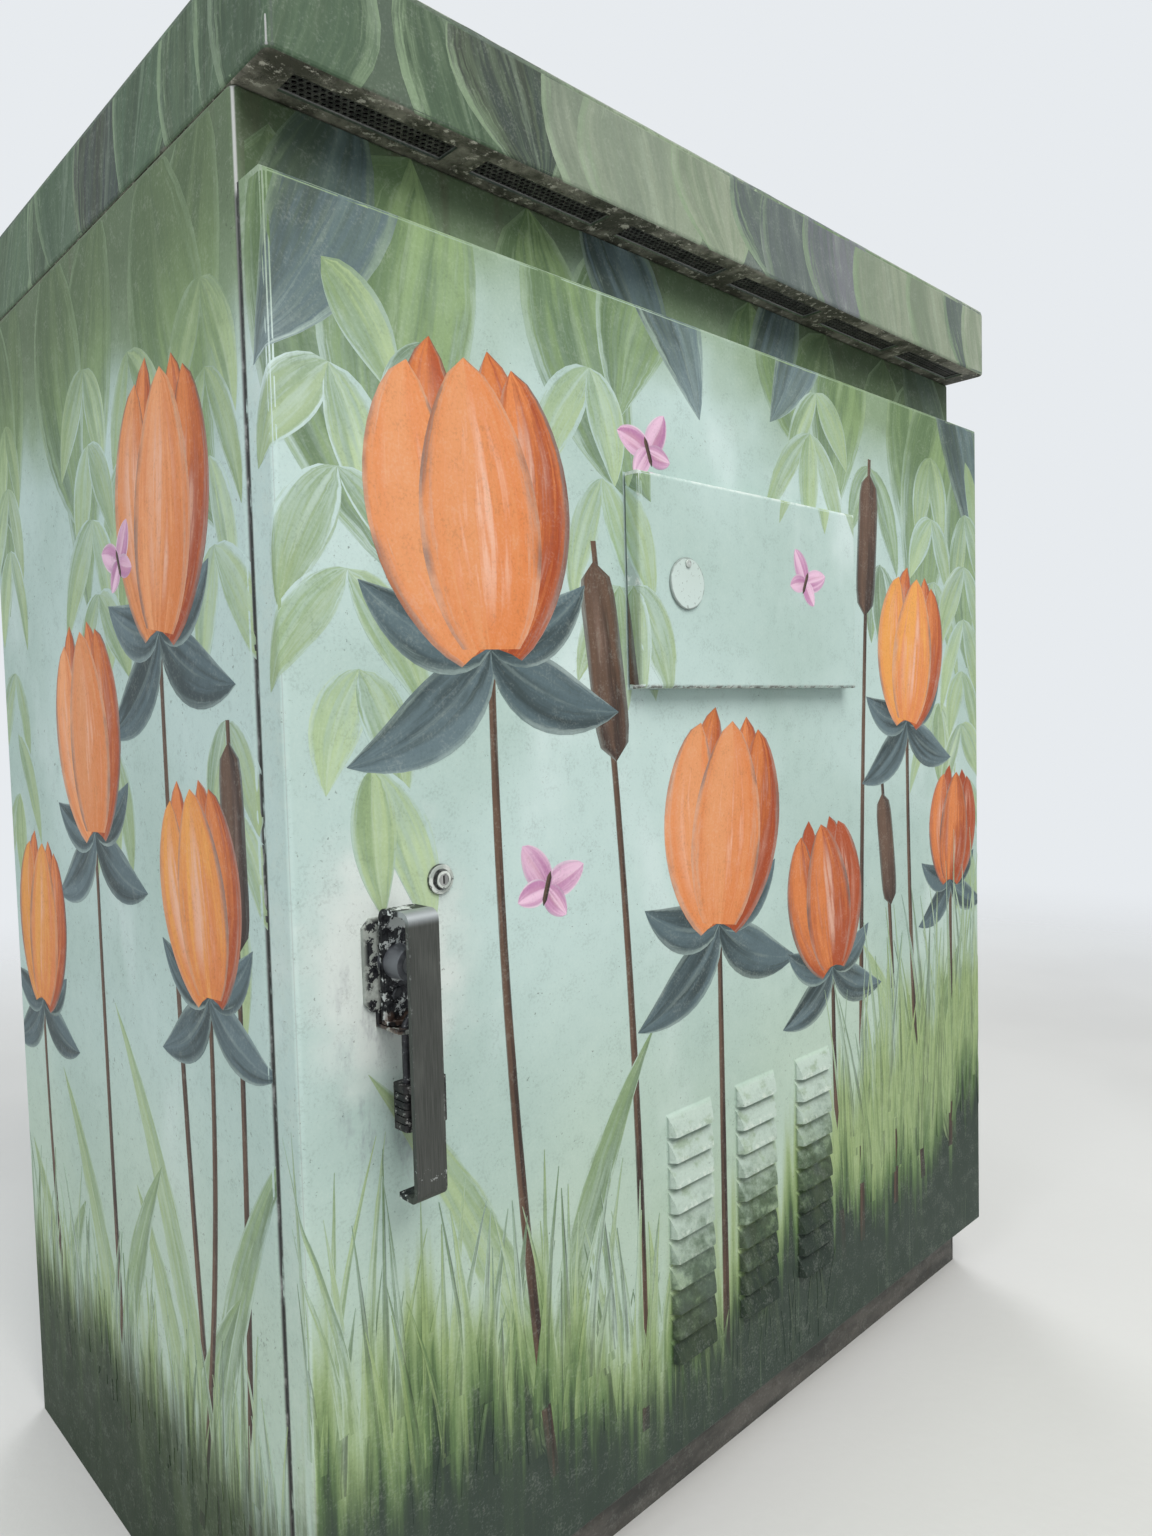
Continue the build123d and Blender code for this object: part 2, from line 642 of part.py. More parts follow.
def police_door():
    """Shallow pan with a return flange on its hinge side, bored for its lock and the cover's rivet."""
    pan = from_front(Rectangle(POLICE_WIDTH, POLICE_HEIGHT), 0, POLICE_FACE, POLICE_REAR, POLICE_MIDDLE_Z)
    pan = fillet(front_loop(pan), POLICE_EDGE_R)
    cavity = Rectangle(POLICE_WIDTH - 2 * POLICE_SHEET, POLICE_HEIGHT - 2 * POLICE_SHEET)
    pan -= from_front(cavity, 0, POLICE_FACE + POLICE_SHEET, POLICE_REAR - POLICE_SHEET, POLICE_MIDDLE_Z)
    back_width = POLICE_WIDTH - 2 * POLICE_SHEET - POLICE_RETURN
    back_hole = Rectangle(back_width, POLICE_HEIGHT - 2 * POLICE_SHEET)
    pan -= from_front(back_hole, -POLICE_RETURN / 2, POLICE_REAR - POLICE_SHEET, POLICE_REAR, POLICE_MIDDLE_Z)
    pan -= through(KEY_X, KEY_Z, POLICE_LOCK_R, POLICE_FACE, POLICE_FACE + POLICE_SHEET)
    return pan - through(KEY_X, KEY_Z + COVER_PIVOT_UP, COVER_RIVET_R, POLICE_FACE, POLICE_FACE + POLICE_SHEET)


def police_gasket():
    """Foam strip inside the police door, in line with the rim of its opening."""
    half_rim = POLICE_LIP_SHEET / 2
    middle = offset(Rectangle(POLICE_OPENING_WIDTH, POLICE_OPENING_HEIGHT), half_rim, kind=Kind.INTERSECTION)
    outer = offset(middle, POLICE_GASKET_WIDTH / 2, kind=Kind.INTERSECTION)
    inner = offset(middle, -POLICE_GASKET_WIDTH / 2, kind=Kind.INTERSECTION)
    rear = DOOR_FACE - POLICE_LIP_OUT - SEAL_CLEARANCE
    return from_front(outer - inner, 0, POLICE_FACE + POLICE_SHEET, rear, POLICE_MIDDLE_Z)


def police_hinge_door_leaf():
    """Leaf on the police door's return flange."""
    return hinge_leaf(
        POLICE_HINGE_X, POLICE_HINGE_Y, POLICE_HINGE_X - POLICE_LEAF_WIDTH, POLICE_REAR,
        POLICE_REAR + POLICE_LEAF_SHEET, POLICE_BOTTOM + HINGE_END, POLICE_TOP - HINGE_END,
        POLICE_KNUCKLE_COUNT, 1, POLICE_KNUCKLE_R, POLICE_PIN_R)


def police_hinge_fixed_leaf():
    """Leaf on the main door's face."""
    return hinge_leaf(
        POLICE_HINGE_X, POLICE_HINGE_Y, POLICE_HINGE_X - POLICE_LEAF_WIDTH, DOOR_FACE - POLICE_LEAF_SHEET,
        DOOR_FACE, POLICE_BOTTOM + HINGE_END, POLICE_TOP - HINGE_END,
        POLICE_KNUCKLE_COUNT, 0, POLICE_KNUCKLE_R, POLICE_PIN_R)


def police_hinge_pin():
    """Pin of the police door's hinge."""
    low = POLICE_BOTTOM + HINGE_END
    high = POLICE_TOP - HINGE_END
    return upright(POLICE_HINGE_X, POLICE_HINGE_Y, POLICE_PIN_R, low, high)


def police_lock():
    """Lock barrel in the police door, with a nut behind the sheet."""
    barrel = through(KEY_X, KEY_Z, POLICE_LOCK_R, POLICE_FACE, POLICE_FACE + POLICE_LOCK_LENGTH)
    nut_front = POLICE_FACE + POLICE_SHEET
    barrel += from_front(RegularPolygon(POLICE_NUT_R, 6), KEY_X, nut_front, nut_front + POLICE_NUT, KEY_Z)
    plug_hole = POLICE_PLUG_R + PIN_CLEARANCE
    return barrel - through(KEY_X, KEY_Z, plug_hole, POLICE_FACE, POLICE_FACE + POLICE_LOCK_LENGTH)


def police_lock_plug():
    """Key plug with the cam on its inner end, upright when unlocked."""
    plug = through(KEY_X, KEY_Z, POLICE_PLUG_R, POLICE_FACE + 0.5, POLICE_FACE + POLICE_LOCK_LENGTH + 1)
    keyway = Rectangle(KEYWAY_WIDTH, KEYWAY_HEIGHT)
    plug -= from_front(keyway, KEY_X, POLICE_FACE, POLICE_FACE + KEYWAY_DEPTH, KEY_Z)
    cam = SlotCenterToCenter(POLICE_CAM_LENGTH - POLICE_CAM_WIDTH, POLICE_CAM_WIDTH, rotation=90)
    cam_front = POLICE_FACE + POLICE_LOCK_LENGTH + 0.5
    rise = (POLICE_CAM_LENGTH - POLICE_CAM_WIDTH) / 2
    return plug + from_front(cam, KEY_X, cam_front, cam_front + POLICE_CAM_SHEET, KEY_Z + rise)


def keyhole_cover():
    """Disc that swings aside from the keyhole."""
    rear = POLICE_FACE - COVER_STANDOFF
    disc = through(KEY_X, KEY_Z, COVER_R, rear - COVER_SHEET, rear)
    disc = chamfer(front_loop(disc), 0.8)
    return disc - through(KEY_X, KEY_Z + COVER_PIVOT_UP, COVER_RIVET_R + PIN_CLEARANCE, rear - COVER_SHEET, rear)


def cover_rivet():
    """Rivet that the cover hangs on."""
    z = KEY_Z + COVER_PIVOT_UP
    front = POLICE_FACE - 2 * COVER_STANDOFF - COVER_SHEET
    shank = through(KEY_X, z, COVER_RIVET_R, front, POLICE_FACE + POLICE_SHEET)
    head = through(KEY_X, z, COVER_RIVET_HEAD_R, front - COVER_RIVET_HEAD, front)
    head = fillet(front_loop(head), COVER_RIVET_HEAD * 0.75)
    tail_front = POLICE_FACE + POLICE_SHEET
    return shank + head + through(KEY_X, z, COVER_RIVET_HEAD_R, tail_front, tail_front + COVER_RIVET_HEAD)


def switch_box():
    """Recess behind the police door that carries the switches."""
    width = POLICE_OPENING_WIDTH + 2 * SWITCH_BOX_MARGIN
    height = POLICE_OPENING_HEIGHT + 2 * SWITCH_BOX_MARGIN
    box = from_front(Rectangle(width, height), 0, DOOR_INSIDE, SWITCH_PANEL_Y, POLICE_MIDDLE_Z)
    flange = Rectangle(width + 2 * SWITCH_BOX_FLANGE, height + 2 * SWITCH_BOX_FLANGE)
    box += from_front(flange, 0, DOOR_INSIDE, DOOR_INSIDE + SWITCH_BOX_SHEET, POLICE_MIDDLE_Z)
    inside = Rectangle(width - 2 * SWITCH_BOX_SHEET, height - 2 * SWITCH_BOX_SHEET)
    return box - from_front(inside, 0, DOOR_INSIDE, SWITCH_PANEL_Y - SWITCH_BOX_SHEET, POLICE_MIDDLE_Z)


def toggle_x(index):
    """Place along X of a switch in the recess."""
    return (index - 0.5) * TOGGLE_PITCH


def toggle_pivot_y():
    """Depth of the switches' pivots."""
    return SWITCH_PANEL_Y - SWITCH_BOX_SHEET - TOGGLE_BASE_DEPTH / 2


def switch_bodies():
    """Square housings of the two switches, each with a slot for its lever."""
    solids = []
    rear = SWITCH_PANEL_Y - SWITCH_BOX_SHEET
    for index in range(2):
        x = toggle_x(index)
        body = from_front(Rectangle(TOGGLE_BASE, TOGGLE_BASE), x, rear - TOGGLE_BASE_DEPTH, rear, POLICE_MIDDLE_Z)
        slot = Rectangle(LEVER_WIDTH + 1, TOGGLE_SLOT)
        body -= from_front(slot, x, rear - TOGGLE_BASE_DEPTH, rear - TOGGLE_FLOOR, POLICE_MIDDLE_Z)
        body += across(x - LEVER_WIDTH / 2 - 1, x + LEVER_WIDTH / 2 + 1, toggle_pivot_y(), POLICE_MIDDLE_Z, LEVER_PIN_R)
        solids.append(body)
    return solids


def lever(x, y, z, length, tilt):
    """Switch lever on a pin along X, tilted up or down from level."""
    grip = Pos(0, -length / 2, 0) * Box(LEVER_WIDTH, length, LEVER_THICKNESS * 0.8)
    grip = fillet(grip.edges().filter_by(Axis.X).sort_by(Axis.Y)[:2], 2)
    boss = Rot(0, 90, 0) * Cylinder(LEVER_THICKNESS / 2, LEVER_WIDTH)
    bore = Rot(0, 90, 0) * Cylinder(LEVER_PIN_R + PIN_CLEARANCE, LEVER_WIDTH)
    return Pos(x, y, z) * Rot(tilt, 0, 0) * (grip + boss - bore)


def toggle_lever(index):
    """Lever of a switch in the recess, tilted up."""
    return lever(toggle_x(index), toggle_pivot_y(), POLICE_MIDDLE_Z, TOGGLE_LENGTH, -TOGGLE_TILT)


# Main lock

def lock_case():
    """Round face, barrel and the housing that guides the bolt."""
    case = through(LOCK_X, LOCK_Z, LOCK_FACE_R, DOOR_FACE - LOCK_FACE_PROUD, DOOR_FACE)
    case = fillet(front_loop(case), 1.2)
    case += through(LOCK_X, LOCK_Z, LOCK_BOSS_R, DOOR_FACE - LOCK_BOSS_PROUD, DOOR_FACE)
    case += through(LOCK_X, LOCK_Z, LOCK_BARREL_R, DOOR_FACE, DOOR_INSIDE)
    bolt_front = FRONT + LOCK_BOLT_IN
    housing_rear = bolt_front + LOCK_BOLT_SHEET + BOLT_CLEARANCE + 2
    housing = Rectangle(LOCK_BODY_WIDTH, LOCK_BODY_HEIGHT)
    case += from_front(housing, LOCK_X, DOOR_INSIDE, housing_rear, LOCK_Z)
    window = LOCK_BOLT_HEIGHT / 2 + BOLT_CLEARANCE
    case -= block(
        LOCK_X - LOCK_BODY_WIDTH / 2, LOCK_X + LOCK_BODY_WIDTH / 2,
        bolt_front - BOLT_CLEARANCE, bolt_front + LOCK_BOLT_SHEET + BOLT_CLEARANCE,
        LOCK_BOLT_Z - window, LOCK_BOLT_Z + window)
    bore = LOCK_PLUG_R + PIN_CLEARANCE
    return case - through(LOCK_X, LOCK_Z, bore, DOOR_FACE - LOCK_BOSS_PROUD, bolt_front - BOLT_CLEARANCE)


def lock_plug():
    """Key plug of the main lock."""
    front = DOOR_FACE - LOCK_BOSS_PROUD + 0.4
    plug = through(LOCK_X, LOCK_Z, LOCK_PLUG_R, front, FRONT + LOCK_BOLT_IN - 2 * BOLT_CLEARANCE)
    return plug - from_front(Rectangle(KEYWAY_WIDTH, KEYWAY_HEIGHT), LOCK_X, front, front + KEYWAY_DEPTH, LOCK_Z)


def lock_bolt():
    """Flat bolt that reaches for the jamb, shown drawn back."""
    front = FRONT + LOCK_BOLT_IN
    bolt = block(
        LOCK_X - LOCK_BOLT_REACH, LOCK_X + LOCK_BOLT_TAIL, front, front + LOCK_BOLT_SHEET,
        LOCK_BOLT_Z - LOCK_BOLT_HEIGHT / 2, LOCK_BOLT_Z + LOCK_BOLT_HEIGHT / 2)
    tip = bolt.edges().filter_by(Axis.Y).sort_by(Axis.X)[:2]
    return chamfer(tip, 3)


# Handle

def sector(inner_r, thickness, half_width, y_near, y_far):
    """Part of a ring about the shaft, below it, between two depths."""
    ring = Circle(inner_r + thickness) - Circle(inner_r)
    window = Pos(0, -inner_r - thickness / 2) * Rectangle(2 * half_width, inner_r)
    return from_front(ring & window, SHAFT_X, y_near, y_far, SHAFT_Z)


def handle_base_plate():
    """Plate under the handle, with the fixed eye for a padlock at its lower end."""
    height = BASE_PLATE_TOP - BASE_PLATE_BOTTOM
    middle = (BASE_PLATE_TOP + BASE_PLATE_BOTTOM) / 2
    front = DOOR_FACE - BASE_PLATE_SHEET
    plate = from_front(Rectangle(BASE_PLATE_WIDTH, height), SHAFT_X, front, DOOR_FACE, middle)
    plate = chamfer(plate.edges().filter_by(Axis.Y), BASE_PLATE_CHAMFER)
    half_strap = STRAP_WIDTH / 2
    tongue = Circle(HASP_R + HASP_SHEET)
    window = Pos(0, -(HASP_R + HASP_SHEET) / 2) * Rectangle(STRAP_WIDTH, HASP_R + HASP_SHEET)
    plate += from_front(tongue & window, SHAFT_X, front, DOOR_FACE, SHAFT_Z)
    plate += sector(HASP_R, HASP_SHEET, half_strap, DOOR_FACE - HASP_OUT, front)
    plate -= through(SHAFT_X, SHAFT_Z, SHAFT_R + PIN_CLEARANCE, front, DOOR_FACE)
    eye_y = DOOR_FACE - SHACKLE_OUT
    low = SHAFT_Z - HASP_R - 2 * HASP_SHEET
    return plate - upright(SHACKLE_X, eye_y, SHACKLE_R + SHACKLE_CLEARANCE, low, SHAFT_Z - HASP_R + HASP_SHEET)


def handle():
    """Flat strap bent round at its top, with a hub on its inner leg and a short hook below."""
    outer = DOOR_FACE - STRAP_OUT
    inner = DOOR_FACE - STRAP_INNER_OUT
    inner_end = SHAFT_Z - HANDLE_LIP_R
    points = (
        (outer, STRAP_TOP),
        (inner + STRAP_SHEET, STRAP_TOP),
        (inner + STRAP_SHEET, inner_end),
        (inner, inner_end),
        (inner, STRAP_TOP - STRAP_SHEET),
        (outer + STRAP_SHEET, STRAP_TOP - STRAP_SHEET),
        (outer + STRAP_SHEET, STRAP_BOTTOM + STRAP_SHEET),
        (outer + STRAP_HOOK, STRAP_BOTTOM + STRAP_SHEET),
        (outer + STRAP_HOOK, STRAP_BOTTOM),
        (outer, STRAP_BOTTOM),
    )
    half = STRAP_WIDTH / 2
    strap = side_profile(points, SHAFT_X - half, SHAFT_X + half)
    along = strap.edges().filter_by(Axis.X)
    outside = [e for e in along if e.center().Z > STRAP_TOP - 1]
    outside += [e for e in along if e.center().Z < STRAP_BOTTOM + 1 and e.center().Y < outer + 1]
    strap = fillet(outside, STRAP_BEND_R)
    along = strap.edges().filter_by(Axis.X)
    bend_z = (STRAP_TOP - STRAP_SHEET, STRAP_BOTTOM + STRAP_SHEET)
    inside = [e for e in along if min(abs(e.center().Z - z) for z in bend_z) < 0.1
              and e.center().Y < inner + 1 and e.center().Y < outer + STRAP_HOOK - 1
              or abs(e.center().Z - bend_z[0]) < 0.1 and abs(e.center().Y - inner) < 0.1]
    strap = fillet(inside, STRAP_BEND_R - STRAP_SHEET)
    strap += sector(HANDLE_LIP_R, HASP_SHEET, half, DOOR_FACE - HANDLE_LIP_OUT, inner + STRAP_SHEET)
    hub_rear = DOOR_FACE - BASE_PLATE_SHEET - SEAL_CLEARANCE
    strap += through(SHAFT_X, SHAFT_Z, HUB_R, DOOR_FACE - HUB_OUT, hub_rear)
    boss = through(SHAFT_X, SHAFT_Z - RIVET_BOSS_DOWN, RIVET_BOSS_R, inner - RIVET_BOSS_PROUD, inner)
    strap += fillet(front_loop(boss), RIVET_BOSS_PROUD * 0.7)
    return strap - through(SHAFT_X, SHAFT_Z, SHAFT_R, DOOR_FACE - HUB_OUT, inner + STRAP_SHEET + HUB_OUT)


def handle_shaft():
    """Shaft from the handle's hub to the cam, with a flange against the bracket."""
    shaft = through(SHAFT_X, SHAFT_Z, SHAFT_R, DOOR_FACE - HUB_OUT, CAM_REAR)
    collar_rear = CAM_FRONT
    return shaft + through(SHAFT_X, SHAFT_Z, COLLAR_R, FRONT + BRACKET_IN + SEAL_CLEARANCE, collar_rear)


def shaft_bush():
    """Bush that carries the shaft between the door's sheet and the bracket."""
    rear = FRONT + BRACKET_IN
    bush = through(SHAFT_X, SHAFT_Z, BUSH_R, DOOR_FACE, rear)
    return bush - through(SHAFT_X, SHAFT_Z, SHAFT_R + PIN_CLEARANCE, DOOR_FACE, rear)


# Padlock

def padlock_shackle():
    """Bent bar of the padlock, hung in the fixed eye."""
    y = DOOR_FACE - SHACKLE_OUT
    spring_z = SHAFT_Z - SHACKLE_DROP
    low = PADLOCK_TOP - SHACKLE_SEAT
    right = SHACKLE_X + SHACKLE_SPACING
    path = Line((SHACKLE_X, y, low), (SHACKLE_X, y, spring_z))
    crown = ThreePointArc(
        (SHACKLE_X, y, spring_z),
        ((SHACKLE_X + right) / 2, y, spring_z + SHACKLE_SPACING / 2),
        (right, y, spring_z))
    path = path + crown + Line((right, y, spring_z), (right, y, low))
    section = Plane(origin=(SHACKLE_X, y, low), z_dir=(0, 0, 1)) * Circle(SHACKLE_R)
    return sweep(section, path=path)


def padlock_body():
    """Laminated body of the padlock."""
    x = SHACKLE_X + SHACKLE_SPACING / 2
    y = DOOR_FACE - SHACKLE_OUT
    section = RectangleRounded(PADLOCK_WIDTH, PADLOCK_DEPTH, PADLOCK_CORNER_R)
    low = PADLOCK_TOP - PADLOCK_HEIGHT
    body = Pos(x, y, low) * extrude(section, PADLOCK_HEIGHT)
    narrow = RectangleRounded(
        PADLOCK_WIDTH - 2 * PADLOCK_GROOVE, PADLOCK_DEPTH - 2 * PADLOCK_GROOVE, PADLOCK_CORNER_R - PADLOCK_GROOVE)
    pitch = PADLOCK_HEIGHT / PADLOCK_PLATES
    for plate in range(1, PADLOCK_PLATES):
        groove = extrude(section - narrow, PADLOCK_GROOVE)
        body -= Pos(x, y, low + plate * pitch - PADLOCK_GROOVE / 2) * groove
    for leg_x in (SHACKLE_X, SHACKLE_X + SHACKLE_SPACING):
        bore = SHACKLE_R + SHACKLE_BORE_CLEARANCE
        body -= upright(leg_x, y, bore, PADLOCK_TOP - SHACKLE_SEAT - 1, PADLOCK_TOP)
    return body


# Latch

def latch_bracket():
    """Hat-shaped bracket behind the door's sheet that holds the bush's inner end."""
    rear = FRONT + BRACKET_IN
    low = SHAFT_Z - BRACKET_HEIGHT / 2
    half = BRACKET_WIDTH / 2
    x0 = SHAFT_X - half
    x1 = SHAFT_X + half
    bracket = block(x0, x1, DOOR_INSIDE, rear, low, low + BRACKET_HEIGHT)
    bracket -= block(
        x0, x1, DOOR_INSIDE, rear - BRACKET_SHEET, low + BRACKET_SHEET, low + BRACKET_HEIGHT - BRACKET_SHEET)
    return bracket - through(SHAFT_X, SHAFT_Z, BUSH_R, rear - BRACKET_SHEET, rear)


def spiral_slot():
    """Slot for one rod's pin: its radius shrinks evenly as the cam turns."""
    half = CAM_PIN_R + CAM_SLOT_CLEARANCE
    steps = 12
    centres = []
    for step in range(steps + 1):
        share = step / steps
        angle = math.radians(90 - LATCH_TURN * share)
        radius = CAM_START_R - LATCH_TRAVEL * share
        centres.append((radius * math.cos(angle), radius * math.sin(angle)))
    shrink = LATCH_TRAVEL / math.radians(LATCH_TURN)
    outer = []
    inner = []
    for step in range(steps + 1):
        share = step / steps
        angle = math.radians(90 - LATCH_TURN * share)
        radius = CAM_START_R - LATCH_TRAVEL * share
        along = (radius * math.sin(angle) - shrink * math.cos(angle),
                 -radius * math.cos(angle) - shrink * math.sin(angle))
        size = math.hypot(*along)
        normal = (-along[1] / size * half, along[0] / size * half)
        outer.append((centres[step][0] + normal[0], centres[step][1] + normal[1]))
        inner.append((centres[step][0] - normal[0], centres[step][1] - normal[1]))
    edges = Spline(*outer) + Line(outer[-1], inner[-1]) + Spline(*inner) + Line(inner[0], outer[0])
    slot = make_face(edges)
    slot += Pos(*centres[0]) * Circle(half)
    return slot + Pos(*centres[-1]) * Circle(half)


def latch_cam():
    """Disc on the shaft with two spiral slots, half a turn apart."""
    disc = Circle(CAM_R) - Circle(SHAFT_R)
    slot = spiral_slot()
    disc -= slot
    disc -= Rot(0, 0, 180) * slot
    return from_front(disc, SHAFT_X, CAM_FRONT, CAM_REAR, SHAFT_Z)


def latch_rod(side, tip):
    """Flat rod from the cam to a forked end that carries a roller. side is 1 above the cam."""
    pin_z = SHAFT_Z + side * CAM_START_R
    start = pin_z - side * (CAM_PIN_R + 3)
    axle_z = tip - side * ROLLER_R
    end = axle_z + side * (ROLLER_AXLE_R + 2.5)
    half = ROD_WIDTH / 2
    bar = block(SHAFT_X - half, SHAFT_X + half, ROD_FRONT, ROD_REAR, start, end)
    slot_half = ROLLER_WIDTH / 2 + ROLLER_SIDE_CLEARANCE
    slot_start = axle_z - side * (ROLLER_R + 2)
    bar -= block(SHAFT_X - slot_half, SHAFT_X + slot_half, ROD_FRONT, ROD_REAR, slot_start, end)
    bar += across(SHAFT_X - half, SHAFT_X + half, ROD_Y, axle_z, ROLLER_AXLE_R)
    return bar + through(SHAFT_X, pin_z, CAM_PIN_R, CAM_FRONT - 0.5, ROD_FRONT)


def latch_roller(side, tip):
    """Roller in the fork of a rod."""
    axle_z = tip - side * ROLLER_R
    half = ROLLER_WIDTH / 2
    wheel = across(SHAFT_X - half, SHAFT_X + half, ROD_Y, axle_z, ROLLER_R)
    return wheel - across(SHAFT_X - half, SHAFT_X + half, ROD_Y, axle_z, ROLLER_AXLE_R + PIN_CLEARANCE)


def rod_guides():
    """Bridges on the door's inside that the rods slide through."""
    solids = []
    half = GUIDE_WIDTH / 2
    rear = ROD_REAR + GUIDE_CLEARANCE + GUIDE_WALL
    loop_front = ROD_FRONT - GUIDE_CLEARANCE - GUIDE_WALL
    window = ROD_WIDTH / 2 + GUIDE_CLEARANCE
    for z in (LOWER_TIP + GUIDE_FROM_TIP, SHAFT_Z - GUIDE_NEAR, SHAFT_Z + GUIDE_NEAR, UPPER_TIP - GUIDE_FROM_TIP):
        low = z - GUIDE_THICKNESS / 2
        high = z + GUIDE_THICKNESS / 2
        guide = block(SHAFT_X - half, SHAFT_X + half, DOOR_INSIDE, rear, low, high)
        guide -= block(
            SHAFT_X - window, SHAFT_X + window, ROD_FRONT - GUIDE_CLEARANCE, ROD_REAR + GUIDE_CLEARANCE, low, high)
        guide -= block(SHAFT_X - window, SHAFT_X + window, DOOR_INSIDE, loop_front, low, high)
        solids.append(guide)
    return solids


# Door stay

def stay_bracket():
    """Forked bracket on the door's inside for the stay's pivot."""
    y = FRONT + STAY_IN
    gap = STAY_R + STAY_FORK_GAP
    reach = y + STAY_EYE_R
    thickness = STAY_BRACKET_SHEET
    half = STAY_EYE_R + 2
    low = STAY_Z - STAY_BRACKET_HALF
    high = STAY_Z + STAY_BRACKET_HALF
    bracket = block(STAY_X - half, STAY_X + half, DOOR_INSIDE, DOOR_INSIDE + thickness, low, high)
    for low in (STAY_Z - gap - thickness, STAY_Z + gap):
        bracket += block(STAY_X - half, STAY_X + half, DOOR_INSIDE, reach, low, low + thickness)
    return bracket + upright(STAY_X, y, STAY_PIN_R, STAY_Z - gap, STAY_Z + gap)


def stay_rod():
    """Rod that swings out to hold the door open, stowed along the door, with its tip bent down."""
    y = FRONT + STAY_IN
    end = STAY_X - STAY_LENGTH
    start = STAY_X - STAY_EYE_R + 1
    eye = upright(STAY_X, y, STAY_EYE_R, STAY_Z - STAY_R, STAY_Z + STAY_R)
    eye -= upright(STAY_X, y, STAY_PIN_R + PIN_CLEARANCE, STAY_Z - STAY_R, STAY_Z + STAY_R)
    path = FilletPolyline((start, y, STAY_Z), (end, y, STAY_Z), (end, y, STAY_Z - STAY_HOOK), radius=STAY_BEND_R)
    section = Plane(origin=(start, y, STAY_Z), z_dir=(-1, 0, 0)) * Circle(STAY_R - STAY_EYE_STEP)
    return eye + sweep(section, path=path)


def stay_clip():
    """Clip that holds the stowed stay rod, open towards the cabinet."""
    y = FRONT + STAY_IN
    x = STAY_X - STAY_LENGTH * 0.8
    half = STAY_CLIP_LENGTH / 2
    inside = STAY_R + SEAL_CLEARANCE
    outside = inside + 2
    clip = block(x - half, x + half, DOOR_INSIDE, y + STAY_R, STAY_Z - outside, STAY_Z + outside)
    clip -= block(x - half, x + half, y, y + STAY_R, STAY_Z - inside, STAY_Z + inside)
    return clip - across(x - half, x + half, y, STAY_Z, inside)


# Filter

def air_filter():
    """Framed, pleated filter behind the louvres."""
    depth_front = DOOR_INSIDE + SEAL_CLEARANCE
    middle = FILTER_BOTTOM + FILTER_HEIGHT / 2
    frame = Rectangle(FILTER_WIDTH, FILTER_HEIGHT)
    frame -= Rectangle(FILTER_WIDTH - 2 * FILTER_BORDER, FILTER_HEIGHT - 2 * FILTER_BORDER)
    body = from_front(frame, 0, depth_front, depth_front + FILTER_DEPTH, middle)
    pitch = (FILTER_WIDTH - 2 * FILTER_BORDER) / FILTER_PLEATS
    start = -FILTER_WIDTH / 2 + FILTER_BORDER
    near = []
    far = []
    for fold in range(2 * FILTER_PLEATS + 1):
        y = depth_front + (FILTER_SHEET / 2 if fold % 2 == 0 else FILTER_DEPTH - FILTER_SHEET * 3 / 2)
        near.append((start + fold * pitch / 2, y))
        far.append((start + fold * pitch / 2, y + FILTER_SHEET))
    pleats = make_face(Polyline(*near, *reversed(far), close=True))
    low = FILTER_BOTTOM + FILTER_BORDER
    body += Pos(0, 0, low) * extrude(pleats, FILTER_HEIGHT - 2 * FILTER_BORDER)
    return body


def filter_retainer():
    """Channel on the door's inside that holds the filter on three sides."""
    gap = SEAL_CLEARANCE
    outer_half = FILTER_WIDTH / 2 + gap + RETAINER_SHEET
    inner_half = FILTER_WIDTH / 2 + gap
    rear = DOOR_INSIDE + 2 * gap + FILTER_DEPTH + RETAINER_SHEET
    low = FILTER_BOTTOM - gap - RETAINER_SHEET
    high = FILTER_BOTTOM + RETAINER_HEIGHT
    holder = block(-outer_half, outer_half, DOOR_INSIDE, rear, low, high)
    holder -= block(-inner_half, inner_half, DOOR_INSIDE, rear - RETAINER_SHEET, FILTER_BOTTOM - gap, high)
    window = inner_half - RETAINER_WRAP
    return holder - block(
        -window, window, rear - RETAINER_SHEET, rear, FILTER_BOTTOM + RETAINER_WRAP, high)


# Equipment

def side_channels():
    """Upright channels on the side walls that carry the shelves."""
    solids = []
    for side in (LEFT, RIGHT):
        for y in (-CHANNEL_Y, CHANNEL_Y):
            wall = side * INNER_HALF_WIDTH
            face = side * (INNER_HALF_WIDTH - CHANNEL_DEPTH)
            outer = block(wall, face, y - CHANNEL_WIDTH / 2, y + CHANNEL_WIDTH / 2, CHANNEL_BOTTOM, CHANNEL_TOP)
            half = CHANNEL_WIDTH / 2 - CHANNEL_SHEET
            hollow_end = face + side * CHANNEL_SHEET
            solids.append(outer - block(wall, hollow_end, y - half, y + half, CHANNEL_BOTTOM, CHANNEL_TOP))
    return solids


def shelf_half_width():
    """Half the width of a shelf, which fits between the channels."""
    return INNER_HALF_WIDTH - CHANNEL_DEPTH - SHELF_SIDE_GAP


def shelf(top):
    """Shelf with its front and back edges turned down."""
    half = shelf_half_width()
    half_depth = SHELF_DEPTH / 2
    plate = block(-half, half, -half_depth, half_depth, top - SHELF_TURN_DOWN, top)
    inside = half_depth - SHELF_SHEET
    return plate - block(-half, half, -inside, inside, top - SHELF_TURN_DOWN, top - SHELF_SHEET)


